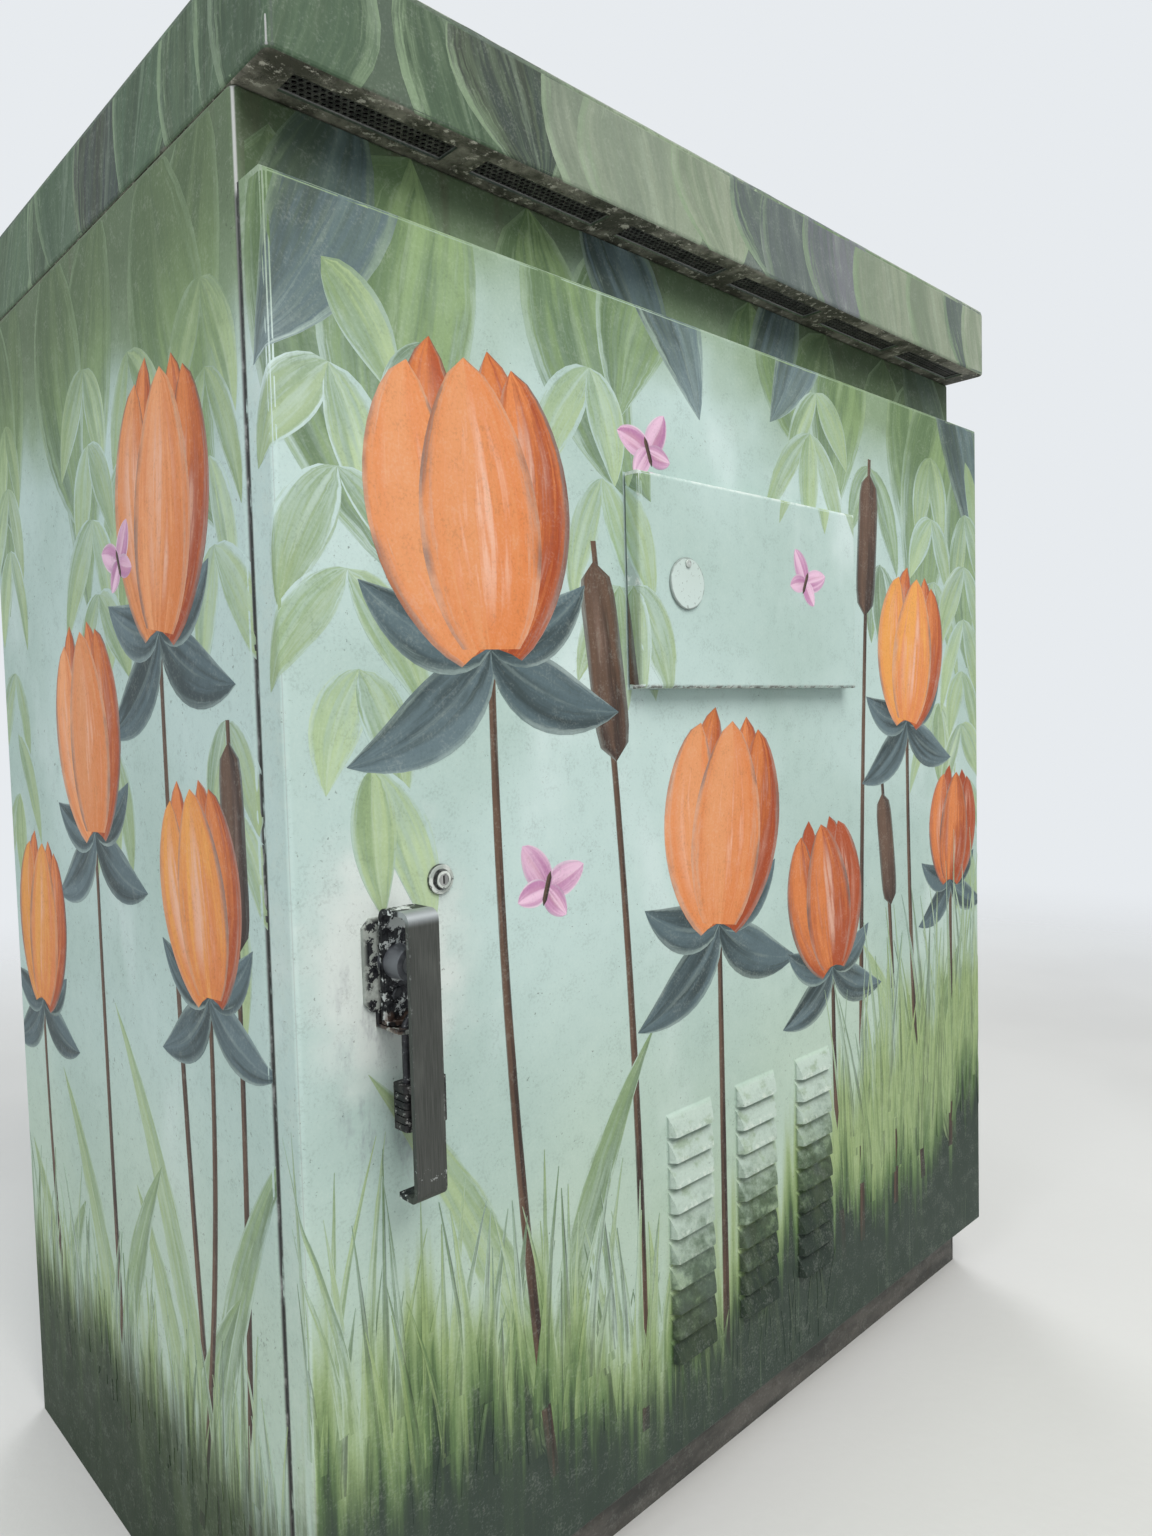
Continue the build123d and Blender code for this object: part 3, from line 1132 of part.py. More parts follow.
def shelf_brackets():
    """Angle brackets on the channels, one under each corner of a shelf."""
    solids = []
    for top in (LOWER_SHELF_TOP, UPPER_SHELF_TOP):
        under = top - SHELF_SHEET
        low = under - SHELF_TURN_DOWN
        for side in (LEFT, RIGHT):
            face = side * (INNER_HALF_WIDTH - CHANNEL_DEPTH)
            reach = face - side * SHELF_BRACKET_REACH
            for y in (-CHANNEL_Y, CHANNEL_Y):
                y0 = y - CHANNEL_WIDTH / 2 + CHANNEL_SHEET
                y1 = y + CHANNEL_WIDTH / 2 - CHANNEL_SHEET
                angle = block(face, reach, y0, y1, under - SHELF_BRACKET_SHEET, under)
                angle += block(face, face - side * SHELF_BRACKET_SHEET, y0, y1, low, under)
                solids.append(angle)
    return solids


def back_panel():
    """Equipment panel in front of the back wall, with four holes for more gear."""
    half = BACK_PANEL_WIDTH / 2
    rear = BACK_PANEL_Y + BACK_PANEL_SHEET
    panel = block(-half, half, BACK_PANEL_Y, rear, BACK_PANEL_BOTTOM, BACK_PANEL_TOP)
    reach = PANEL_HOLE_SPACING / 2
    for side in (LEFT, RIGHT):
        for z in (PANEL_HOLES_Z - reach, PANEL_HOLES_Z + reach):
            panel -= through(side * reach, z, PANEL_HOLE_R, BACK_PANEL_Y, rear)
    return panel


def panel_standoffs():
    """Round spacers between the back panel and the wall."""
    solids = []
    for side in (LEFT, RIGHT):
        x = side * (BACK_PANEL_WIDTH / 2 - STANDOFF_INSET)
        for z in (BACK_PANEL_BOTTOM + STANDOFF_INSET, BACK_PANEL_TOP - STANDOFF_INSET):
            solids.append(through(x, z, STANDOFF_R, BACK_PANEL_Y + BACK_PANEL_SHEET, BACK - SHEET))
    return solids


def terminal_strips():
    """Barrier strips on the back panel, with a trough for each way."""
    solids = []
    pitch = TERMINAL_LENGTH / TERMINAL_WAYS
    front = BACK_PANEL_Y - TERMINAL_DEPTH
    for strip_index in range(TERMINAL_STRIPS):
        z = TERMINAL_LOW + strip_index * TERMINAL_STEP
        half = TERMINAL_LENGTH / 2
        strip = block(-half, half, front, BACK_PANEL_Y, z, z + TERMINAL_HEIGHT)
        troughs = []
        for way in range(TERMINAL_WAYS):
            x = -half + pitch * (way + 0.5)
            troughs.append(block(
                x - TERMINAL_TROUGH / 2, x + TERMINAL_TROUGH / 2, front, front + TERMINAL_DEPTH / 2,
                z, z + TERMINAL_HEIGHT))
        solids.append(strip - troughs)
    return solids


def ground_bar():
    """Drilled brass bar on two posts."""
    half = GROUND_BAR_LENGTH / 2
    z0 = GROUND_BAR_Z
    z1 = z0 + GROUND_BAR_HEIGHT
    front = BACK_PANEL_Y - GROUND_POST - GROUND_BAR_SHEET
    bar = block(-half, half, front, front + GROUND_BAR_SHEET, z0, z1)
    pitch = GROUND_BAR_LENGTH / (GROUND_BAR_HOLES + 2)
    for hole in range(GROUND_BAR_HOLES):
        x = pitch * (hole - (GROUND_BAR_HOLES - 1) / 2)
        bar -= through(x, (z0 + z1) / 2, GROUND_BAR_HOLE_R, front, front + GROUND_BAR_SHEET)
    for side in (LEFT, RIGHT):
        x = side * (half - pitch / 2)
        bar += through(x, (z0 + z1) / 2, GROUND_POST_R, front + GROUND_BAR_SHEET, BACK_PANEL_Y)
    return bar


def breaker_pivot_y():
    """Depth of the breaker levers' pins."""
    return BACK_PANEL_Y - BREAKER_DEPTH + LEVER_THICKNESS / 2 + 2


def breaker_block():
    """Two-pole breaker housing with a window for each lever."""
    front = BACK_PANEL_Y - BREAKER_DEPTH
    half = BREAKER_WIDTH / 2
    housing = block(
        BREAKER_X - half, BREAKER_X + half, front, BACK_PANEL_Y,
        BREAKER_Z - BREAKER_HEIGHT / 2, BREAKER_Z + BREAKER_HEIGHT / 2)
    housing = chamfer(front_loop(housing), BREAKER_CHAMFER)
    y = breaker_pivot_y()
    for side in (LEFT, RIGHT):
        x = BREAKER_X + side * BREAKER_POLE_PITCH / 2
        slot_half = LEVER_WIDTH / 2 + 0.5
        housing -= block(
            x - slot_half, x + slot_half, front, y + LEVER_THICKNESS / 2 + 1,
            BREAKER_Z - LEVER_WINDOW / 2, BREAKER_Z + LEVER_WINDOW / 2)
        housing += across(x - slot_half - 1, x + slot_half + 1, y, BREAKER_Z, LEVER_PIN_R)
    return housing


def breaker_lever(side):
    """Lever of one breaker, tilted up."""
    x = BREAKER_X + side * BREAKER_POLE_PITCH / 2
    return lever(x, breaker_pivot_y(), BREAKER_Z, LEVER_LENGTH, -LEVER_TILT)


def plenum_tray():
    """Tray under the roof that carries the fan and closes the space behind the vents."""
    half_x = INNER_HALF_WIDTH - PLENUM_MARGIN
    half_y = DEPTH / 2 - SHEET - PLENUM_MARGIN
    top = BODY_HEIGHT - SHEET
    tray = block(-half_x, half_x, -half_y, half_y, PLENUM_Z, top)
    inside_x = half_x - PLENUM_SHEET
    inside_y = half_y - PLENUM_SHEET
    tray -= block(-inside_x, inside_x, -inside_y, inside_y, PLENUM_Z + PLENUM_SHEET, top)
    return tray - upright(FAN_X, FAN_Y, FAN_BORE_R, PLENUM_Z, PLENUM_Z + PLENUM_SHEET)


def fan_housing():
    """Square fan frame with a round bore, three spokes and the motor's seat."""
    low = PLENUM_Z + PLENUM_SHEET
    half = FAN_SIZE / 2
    frame = block(FAN_X - half, FAN_X + half, FAN_Y - half, FAN_Y + half, low, low + FAN_DEPTH)
    frame = fillet(frame.edges().filter_by(Axis.Z), FAN_CORNER_R)
    frame -= upright(FAN_X, FAN_Y, FAN_BORE_R, low, low + FAN_DEPTH)
    spoke_low = low + FAN_DEPTH - FAN_SEAT
    spoke = block(0, FAN_BORE_R + 1, -FAN_SPOKE / 2, FAN_SPOKE / 2, spoke_low, spoke_low + FAN_SEAT)
    for turn in range(3):
        frame += Pos(FAN_X, FAN_Y, 0) * Rot(0, 0, 120 * turn + 30) * spoke
    frame += upright(FAN_X, FAN_Y, FAN_HUB_R, spoke_low, spoke_low + FAN_SEAT)
    return frame + upright(FAN_X, FAN_Y, FAN_SPINDLE_R, low + 2 * FAN_SEAT, spoke_low)


def fan_rotor():
    """Hub with pitched blades, bored for the spindle."""
    low = PLENUM_Z + PLENUM_SHEET + FAN_SEAT
    high = PLENUM_Z + PLENUM_SHEET + FAN_DEPTH - FAN_SEAT - SEAL_CLEARANCE
    height = high - low
    middle = (high + low) / 2
    rotor = upright(0, 0, FAN_HUB_R, low, high)
    tip_r = FAN_BORE_R - FAN_TIP_GAP
    blade_height = height * 0.86 / math.sin(math.radians(FAN_BLADE_PITCH))
    blade = Box(tip_r - FAN_HUB_R / 2, FAN_BLADE_SHEET, blade_height)
    blade = Pos((tip_r + FAN_HUB_R / 2) / 2, 0, 0) * Rot(90 - FAN_BLADE_PITCH, 0, 0) * blade
    limit = Cylinder(tip_r, height)
    for turn in range(FAN_BLADES):
        rotor += Pos(0, 0, middle) * (Rot(0, 0, 360 * turn / FAN_BLADES) * blade & limit)
    rotor -= upright(0, 0, FAN_SPINDLE_R + PIN_CLEARANCE, low, high)
    return Pos(FAN_X, FAN_Y, 0) * rotor


def fan_guard():
    """Finger guard of rings and a cross under the fan."""
    rings = Sketch()
    for ring in range(1, GUARD_RINGS + 1):
        radius = FAN_BORE_R * ring / GUARD_RINGS
        rings += Circle(radius + GUARD_WIRE / 2) - Circle(radius - GUARD_WIRE / 2)
    length = 2 * (FAN_BORE_R + GUARD_OVERLAP)
    cross = Rectangle(length, GUARD_WIRE) + Rectangle(GUARD_WIRE, length)
    guard = extrude(rings + cross, GUARD_WIRE)
    return Pos(FAN_X, FAN_Y, PLENUM_Z - GUARD_WIRE) * guard


def cabinet_lamp():
    """Strip lamp under the plenum tray, behind the door opening."""
    y = FRONT + LAMP_IN
    half = LAMP_LENGTH / 2
    low = PLENUM_Z - LAMP_HEIGHT
    lamp = block(-half, half, y - LAMP_WIDTH / 2, y + LAMP_WIDTH / 2, low, PLENUM_Z)
    return fillet([e for e in lamp.edges().filter_by(Axis.X) if e.center().Z < low + 1], LAMP_EDGE_R)


def hinge_screws():
    """Flush screws that hold the frame leaf to the body, with a nut behind the sheet."""
    solids = []
    x = HINGE_X - LEAF_WIDTH + SCREW_INSET
    nut_front = FRONT + SHEET
    for z in screw_heights(SCREW_COUNT):
        screw = through(x, z, SCREW_R, FRONT - LEAF_SHEET, nut_front + SCREW_END)
        solids.append(screw + from_front(RegularPolygon(SCREW_NUT_R, 6), x, nut_front, nut_front + SCREW_NUT, z))
    return solids


def write(name, shape):
    """Writes one sub-part as a STEP file."""
    solids = shape if isinstance(shape, list) else [shape]
    found = [solid for item in solids for solid in item.solids()]
    whole = found[0] if len(found) == 1 else Compound(children=found)
    export_step(whole, "parts/" + name + ".step")


def main():
    """Builds every sub-part."""
    os.makedirs("parts", exist_ok=True)
    write("body_shell", body_shell())
    write("opening_lip", opening_lip())
    write("roof_lid", roof_lid())
    write("vent_screens", vent_screens())
    write("door_panel", door_panel())
    write("door_gasket", door_gasket())
    write("hinge_frame_leaf", hinge_frame_leaf())
    write("hinge_door_leaf", hinge_door_leaf())
    write("hinge_pin", hinge_pin())
    write("hinge_screws", hinge_screws())
    write("police_door", police_door())
    write("police_gasket", police_gasket())
    write("police_hinge_door_leaf", police_hinge_door_leaf())
    write("police_hinge_fixed_leaf", police_hinge_fixed_leaf())
    write("police_hinge_pin", police_hinge_pin())
    write("police_lock", police_lock())
    write("police_lock_plug", police_lock_plug())
    write("keyhole_cover", keyhole_cover())
    write("cover_rivet", cover_rivet())
    write("switch_box", switch_box())
    write("switch_bodies", switch_bodies())
    write("signal_toggle", toggle_lever(0))
    write("flash_toggle", toggle_lever(1))
    write("lock_case", lock_case())
    write("lock_plug", lock_plug())
    write("lock_bolt", lock_bolt())
    write("handle_base_plate", handle_base_plate())
    write("handle", handle())
    write("handle_shaft", handle_shaft())
    write("shaft_bush", shaft_bush())
    write("padlock_shackle", padlock_shackle())
    write("padlock_body", padlock_body())
    write("latch_bracket", latch_bracket())
    write("latch_cam", latch_cam())
    write("upper_rod", latch_rod(1, UPPER_TIP))
    write("lower_rod", latch_rod(-1, LOWER_TIP))
    write("upper_roller", latch_roller(1, UPPER_TIP))
    write("lower_roller", latch_roller(-1, LOWER_TIP))
    write("rod_guides", rod_guides())
    write("stay_bracket", stay_bracket())
    write("stay_rod", stay_rod())
    write("stay_clip", stay_clip())
    write("air_filter", air_filter())
    write("filter_retainer", filter_retainer())
    write("side_channels", side_channels())
    write("lower_shelf", shelf(LOWER_SHELF_TOP))
    write("upper_shelf", shelf(UPPER_SHELF_TOP))
    write("shelf_brackets", shelf_brackets())
    write("back_panel", back_panel())
    write("panel_standoffs", panel_standoffs())
    write("terminal_strips", terminal_strips())
    write("ground_bar", ground_bar())
    write("breaker_block", breaker_block())
    write("main_breaker_lever", breaker_lever(LEFT))
    write("branch_breaker_lever", breaker_lever(RIGHT))
    write("plenum_tray", plenum_tray())
    write("fan_housing", fan_housing())
    write("fan_rotor", fan_rotor())
    write("fan_guard", fan_guard())
    write("cabinet_lamp", cabinet_lamp())


main()
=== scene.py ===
import bpy
import math
import random
from mathutils import Matrix, Vector


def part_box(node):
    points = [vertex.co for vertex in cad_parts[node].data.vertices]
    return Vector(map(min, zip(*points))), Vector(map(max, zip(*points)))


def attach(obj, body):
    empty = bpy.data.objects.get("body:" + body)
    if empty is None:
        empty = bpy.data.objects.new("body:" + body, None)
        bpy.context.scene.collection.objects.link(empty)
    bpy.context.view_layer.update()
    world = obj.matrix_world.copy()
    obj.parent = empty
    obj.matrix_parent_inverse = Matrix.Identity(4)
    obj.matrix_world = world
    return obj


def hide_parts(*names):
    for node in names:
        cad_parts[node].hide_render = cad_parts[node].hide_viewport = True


# Roadside utility cabinet with a hand-painted coat. Lengths are in metres and places are in
# the cabinet's own frame: X to the right, Y to the back and Z up.

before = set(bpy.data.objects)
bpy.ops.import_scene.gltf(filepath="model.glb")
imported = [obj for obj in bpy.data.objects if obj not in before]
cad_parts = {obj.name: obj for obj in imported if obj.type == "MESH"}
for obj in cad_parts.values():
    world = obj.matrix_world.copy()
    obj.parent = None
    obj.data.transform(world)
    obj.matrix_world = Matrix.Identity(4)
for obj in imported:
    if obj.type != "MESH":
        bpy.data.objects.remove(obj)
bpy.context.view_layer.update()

# Camera, fitted to the straight edges of the photographed object
CAMERA_PLACE = (-0.9244, -1.0643, 0.8569)
CAMERA_YAW = -0.7609
CAMERA_PITCH = -0.0516
CAMERA_ROLL = 0.0260
CAMERA_LENS = 24.1

# Sizes read from the frame
DOOR_LOW, DOOR_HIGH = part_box("door_panel")
BODY_LOW, BODY_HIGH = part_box("body_shell")
ROOF_LOW, ROOF_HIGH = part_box("roof_lid")
POLICE_LOW, POLICE_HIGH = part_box("police_door")
PLATE_LOW, PLATE_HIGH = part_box("handle_base_plate")
HANDLE_LOW, HANDLE_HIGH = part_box("handle")
LOCK_LOW, LOCK_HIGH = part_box("lock_case")
COVER_LOW, COVER_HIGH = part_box("keyhole_cover")
SCREEN_LOW, SCREEN_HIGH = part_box("vent_screens")
BODY_FRONT = BODY_LOW[1]

# Gaps behind the main and the small door, height of the handle's shaft and bends of the sheet
DOOR_GAP = 0.0035
POLICE_GAP = 0.0025
DOOR_REAR = BODY_FRONT - DOOR_GAP
DOOR_FACE = POLICE_HIGH[1] + POLICE_GAP
SHAFT_HEIGHT = 0.667
DOOR_BEND = 0.005
BODY_BEND = 0.008
POLICE_BEND = 0.004

# Paint layers: how far a painted shape starts inside the metal and how far each layer stands out
PAINT_ROOT = 0.0003
PAINT_TOP = 0.00012
PAINT_LAYER = 0.000012
PAINT_LAYERS = 36
PAINT_CELL = 0.006
PAINT_SHINE = 0.28
# Facets round each bend of a painted wall, and how far apart the leaves of a strand hang
BEND_STEPS = 3
LEAF_SPACING = 0.062

# Colours, as seen on a screen
MINT = (184, 205, 201)
MINT_LOW = (168, 190, 183)
MINT_HIGH = (203, 219, 217)
HAZE = (172, 190, 166)
OLIVE = (112, 134, 92)
OLIVE_DARK = (62, 78, 52)
GRASS_TIP = (146, 166, 112)
GRASS_MIDDLE = (94, 120, 76)
GRASS_FOOT = (34, 48, 40)
LEAF_LIGHT = (158, 178, 130)
LEAF = (124, 148, 100)
LEAF_DARK = (84, 108, 70)
TEAL = (42, 55, 58)
TEAL_LIGHT = (88, 106, 112)
ORANGE = (208, 124, 70)
ORANGE_LIGHT = (222, 152, 104)
ORANGE_DEEP = (160, 72, 36)
AMBER = (222, 154, 78)
BLOOM = (234, 196, 176)
PALE_PETALS = (ORANGE_LIGHT, ORANGE, ORANGE_DEEP)
AMBER_PETALS = (AMBER, ORANGE, ORANGE_DEEP)
DEEP_PETALS = (ORANGE, ORANGE_DEEP, ORANGE_DEEP)
BROWN = (50, 38, 34)
BROWN_LIGHT = (98, 76, 62)
PINK = (226, 190, 212)
PINK_DEEP = (176, 120, 160)
PAPER_WHITE = (214, 220, 216)
GRIME = (84, 80, 66)
SLATE_FOOT = (50, 62, 54)
# Grass foot on the left wall: a deeper green, darkened partly as painted shade
SIDE_FOOT = (32, 48, 28)

# Place across the cabinet where the painted grass is lowest
GRASS_DIP = -0.19


def linear(colour, alpha=1.0):
    """A screen colour of three numbers up to 255, as linear light."""
    channels = []
    for value in colour:
        share = value / 255
        channels.append(share / 12.92 if share <= 0.04045 else ((share + 0.055) / 1.055) ** 2.4)
    return (*channels, alpha)


# Materials

class Value:
    """A number, colour or vector of a material. Sums with it add nodes; & takes the smaller, | the larger."""

    def __init__(self, net, socket):
        self.net = net
        self.socket = socket

    def __add__(self, other):
        return self.net.math("ADD", self, other)

    def __radd__(self, other):
        return self.net.math("ADD", other, self)

    def __sub__(self, other):
        return self.net.math("SUBTRACT", self, other)

    def __rsub__(self, other):
        return self.net.math("SUBTRACT", other, self)

    def __mul__(self, other):
        return self.net.math("MULTIPLY", self, other)

    def __and__(self, other):
        return self.net.math("MINIMUM", self, other)

    def __or__(self, other):
        return self.net.math("MAXIMUM", self, other)

    def __abs__(self):
        return self.net.math("ABSOLUTE", self)

    def root(self):
        return self.net.math("SQRT", self)

    def parts(self):
        """The three numbers of a vector."""
        split = self.net.node("ShaderNodeSeparateXYZ")
        self.net.feed(split.inputs[0], self)
        return [Value(self.net, socket) for socket in split.outputs]

    def step(self, low, high):
        """0 at low and 1 at high, eased between them. low may be the larger."""
        ranged = self.net.node("ShaderNodeMapRange", interpolation_type="SMOOTHSTEP")
        self.net.feed(ranged.inputs[0], self)
        ranged.inputs[1].default_value = min(low, high)
        ranged.inputs[2].default_value = max(low, high)
        eased = Value(self.net, ranged.outputs[0])
        return 1.0 - eased if low > high else eased

    def inside(self, low, high, start, end):
        """0 up to start within two limits, 1 from end onwards."""
        return self.step(low + start, low + end) & self.step(high - start, high - end)


class Net:
    """A node material that is put together with short calls."""

    def __init__(self, name):
        self.material = bpy.data.materials.new(name)
        self.material.use_nodes = True
        self.tree = self.material.node_tree
        self.tree.nodes.clear()
        output = self.node("ShaderNodeOutputMaterial")
        self.shader = self.node("ShaderNodeBsdfPrincipled")
        self.tree.links.new(self.shader.outputs[0], output.inputs[0])
        self.place = Value(self, self.node("ShaderNodeTexCoord").outputs["Object"])
        self.x, self.y, self.z = self.place.parts()

    def node(self, kind, **settings):
        made = self.tree.nodes.new(kind)
        for key, value in settings.items():
            setattr(made, key, value)
        return made

    def feed(self, socket, value):
        """Links a socket to a value, or sets it to a number or a screen colour."""
        if isinstance(value, Value):
            self.tree.links.new(value.socket, socket)
        elif isinstance(value, tuple):
            socket.default_value = linear(value)
        else:
            socket.default_value = value

    def math(self, operation, first, second=0.0, clamp=False):
        made = self.node("ShaderNodeMath", operation=operation, use_clamp=clamp)
        self.feed(made.inputs[0], first)
        self.feed(made.inputs[1], second)
        return Value(self, made.outputs[0])

    def blend(self, factor, first, second, kind="MIX"):
        """first where the factor is 0, and second, or what the kind makes of both, where it is 1."""
        made = self.node("ShaderNodeMix", data_type="RGBA", blend_type=kind, clamp_factor=True)
        self.feed(made.inputs[0], factor)
        self.feed(made.inputs[6], first)
        self.feed(made.inputs[7], second)
        return Value(self, made.outputs[2])

    def stretch(self, sizes, shift=(0, 0, 0), source=None):
        """Coordinates scaled along each axis, so that a pattern stretches."""
        made = self.node("ShaderNodeMapping")
        self.feed(made.inputs[0], source or self.place)
        made.inputs["Location"].default_value = shift
        made.inputs["Scale"].default_value = sizes
        return Value(self, made.outputs[0])

    def noise(self, scale, detail=2.0, roughness=0.5, source=None, distortion=0.0):
        made = self.node("ShaderNodeTexNoise")
        self.feed(made.inputs["Vector"], source or self.place)
        made.inputs["Scale"].default_value = scale
        made.inputs["Detail"].default_value = detail
        made.inputs["Roughness"].default_value = roughness
        made.inputs["Distortion"].default_value = distortion
        return Value(self, made.outputs[0])

    def streaks(self, sizes, detail, roughness, shift=(0, 0, 0)):
        """Noise with its own scale along each axis."""
        return self.noise(1.0, detail, roughness, self.stretch(sizes, shift))

    def cells(self, scale):
        made = self.node("ShaderNodeTexVoronoi")
        self.feed(made.inputs["Vector"], self.place)
        made.inputs["Scale"].default_value = scale
        return Value(self, made.outputs[0])

    def attribute(self, name, output):
        return Value(self, self.node("ShaderNodeAttribute", attribute_name=name).outputs[output])

    def join(self, x, y, z):
        """A vector of three numbers."""
        made = self.node("ShaderNodeCombineXYZ")
        for socket, value in zip(made.inputs, (x, y, z)):
            self.feed(socket, value)
        return Value(self, made.outputs[0])

    def bump(self, height, distance, under=None):
        made = self.node("ShaderNodeBump")
        made.inputs["Strength"].default_value = 1.0
        made.inputs["Distance"].default_value = distance
        self.feed(made.inputs["Height"], height)
        if under is not None:
            self.feed(made.inputs["Normal"], under)
        return Value(self, made.outputs[0])

    def facing_up(self):
        """1 on a top, -1 on an underside."""
        return Value(self, self.node("ShaderNodeNewGeometry").outputs["Normal"]).parts()[2]

    def off_centre(self, low, high):
        """How far a place is from the middle of a box, to the right and upward."""
        return self.x - (low[0] + high[0]) / 2, self.z - (low[2] + high[2]) / 2

    def rim(self, low, high, width):
        """1 at the edges of an upright rectangle in front, 0 from width inwards."""
        across = (self.x - low[0]) & (high[0] - self.x)
        upward = (self.z - low[2]) & (high[2] - self.z)
        return (across & upward).step(width, 0.0)

    def finish(self, colour, roughness, metallic, normal, specular=0.5):
        self.feed(self.shader.inputs["Base Color"], colour)
        self.feed(self.shader.inputs["Roughness"], roughness)
        self.feed(self.shader.inputs["Metallic"], metallic)
        self.feed(self.shader.inputs["Normal"], normal)
        self.shader.inputs["Specular IOR Level"].default_value = specular
        return self.material


def side_wall(net):
    """1 on the left wall and past it, 0 on the door."""
    return net.x.step(DOOR_LOW[0] + 0.004, DOOR_LOW[0] - 0.0002)


def foot_colour(net):
    """Dark colour of the grass's foot: slate on the door; on the left wall a deeper green, darker partly as
    painted shade.
    """
    return net.blend(side_wall(net), SLATE_FOOT, SIDE_FOOT)


def foot_shade(net, streaks):
    """How far the dark foot of the grass covers a place: 0 above it, 1 near the ground."""
    line = abs(net.x - GRASS_DIP) * 0.3 + 0.155 - net.x.step(0.05, 0.35) * 0.12 - side_wall(net) * 0.05
    return (line + (streaks - 0.5) * 0.16 - net.z).step(-0.045, 0.055)


def overhang_shade(net):
    """How far painted shade under the roof's overhang covers a place: at both ends of the header and on the
    side walls.
    """
    ends = abs(net.x + 0.15).step(0.25, 0.42)
    body = net.y.step(DOOR_REAR - 0.001, DOOR_REAR + 0.002) * net.z.step(ROOF_LOW[2] + 0.003, ROOF_LOW[2])
    return body * net.z.step(1.15, 1.29) * ends * 0.72


def ground_colour(net):
    """Colour field under all painted shapes: pale green clouds above dark brushed grass."""
    cloud = net.noise(2.6, 3.0)
    colour = net.blend(cloud.step(0.36, 0.62), MINT_LOW, MINT)
    drift = net.streaks((5.5, 5.5, 3.2), 4.0, 0.6, (3, 1, 7))
    colour = net.blend(drift.step(0.52, 0.74) * 0.75, colour, MINT_HIGH)
    haze = (net.x * 0.16 + 0.62 - net.z + (cloud - 0.5) * 0.5).step(-0.06, 0.22)
    colour = net.blend(haze * 0.55, colour, HAZE)
    # Olive shade under the roof, deeper to the left
    canopy = net.streaks((4.0, 4.0, 3.0), 3.0, 0.55, (9, 2, 4))
    lean = abs(net.x + 0.02) * 0.16
    high = net.z + lean + (canopy - 0.5) * 0.55
    colour = net.blend(high.step(1.13, 1.33) * 0.85, colour, OLIVE)
    # Brushed grass: broad strokes, then fine ones, darker towards the foot
    broad = net.streaks((30, 30, 2.4), 2.0, 0.5, (1, 5, 2))
    fine = net.streaks((95, 95, 5.0), 3.0, 0.6, (4, 4, 9))
    wash = net.z.step(0.41, 0.27) * abs(net.x - 0.04).step(0.25, 0.13)
    colour = net.blend(wash * broad.step(0.36, 0.58) * 0.6, colour, GRASS_TIP)
    edge = abs(net.x - GRASS_DIP) * 0.34 + 0.305 - side_wall(net) * 0.12
    edge = edge + (net.noise(2.2, 1.0) - 0.5) * 0.3 + (broad - 0.5) * 0.4 + (fine - 0.5) * 0.16
    depth = edge - net.z
    colour = net.blend(depth.step(0.0, 0.11) * 0.9, colour, GRASS_TIP)
    deep = depth - net.x.step(0.05, 0.3) * 0.14
    colour = net.blend(deep.step(0.06, 0.16), colour, GRASS_MIDDLE)
    colour = net.blend((deep + (fine - 0.5) * 0.12).step(0.12, 0.23), colour, GRASS_FOOT)
    streak = fine.step(0.6, 0.74) * depth.step(0.04, 0.3)
    colour = net.blend(streak * 0.22, colour, GRASS_TIP)
    colour = net.blend(foot_shade(net, fine) * 0.88, colour, foot_colour(net))
    hair = net.streaks((170, 170, 3.6), 3.0, 0.6, (8, 3, 1))
    hair = hair.step(0.64, 0.72) * depth.step(0.1, 0.2)
    return net.blend(hair * 0.34, colour, (112, 132, 104))


def mottled(net, colour):
    """Colour with the pale and dark flecks of a coat that was rolled on."""
    fleck = net.noise(380.0, 3.0, 0.65)
    patch = net.noise(52.0, 4.0, 0.65)
    mixed = fleck * 0.55 + patch * 0.45
    colour = net.blend(mixed.step(0.5, 0.66) * 0.08, colour, (226, 234, 222))
    return net.blend(mixed.step(0.49, 0.34) * 0.17, colour, (48, 58, 48))


def brushed_coat(net, strength=1.0):
    """Bump of a coat put on with roller and brush."""
    roller = net.noise(420.0, 2.0)
    brush = net.streaks((260, 260, 38), 3.0, 0.6, (2, 2, 2))
    patch = net.noise(26.0, 3.0)
    height = roller * 0.5 + brush * 0.5 + patch * 0.5
    return net.bump(height, 0.00035 * strength)


def bare_metal(net):
    """Colour of dull mill-finish sheet."""
    smear = net.streaks((14, 14, 4), 3.0, 0.6)
    fine = net.streaks((300, 300, 12), 2.0, 0.5)
    return net.blend((smear + fine * 0.3).step(0.5, 0.95), (158, 160, 158), (174, 175, 172))


def speckle(net, scale, low, high):
    """Scattered small spots."""
    patch = net.noise(scale * 0.16, 2.0)
    spots = net.noise(scale, 3.0, 0.7)
    return spots.step(low, high) * patch.step(0.42, 0.62)


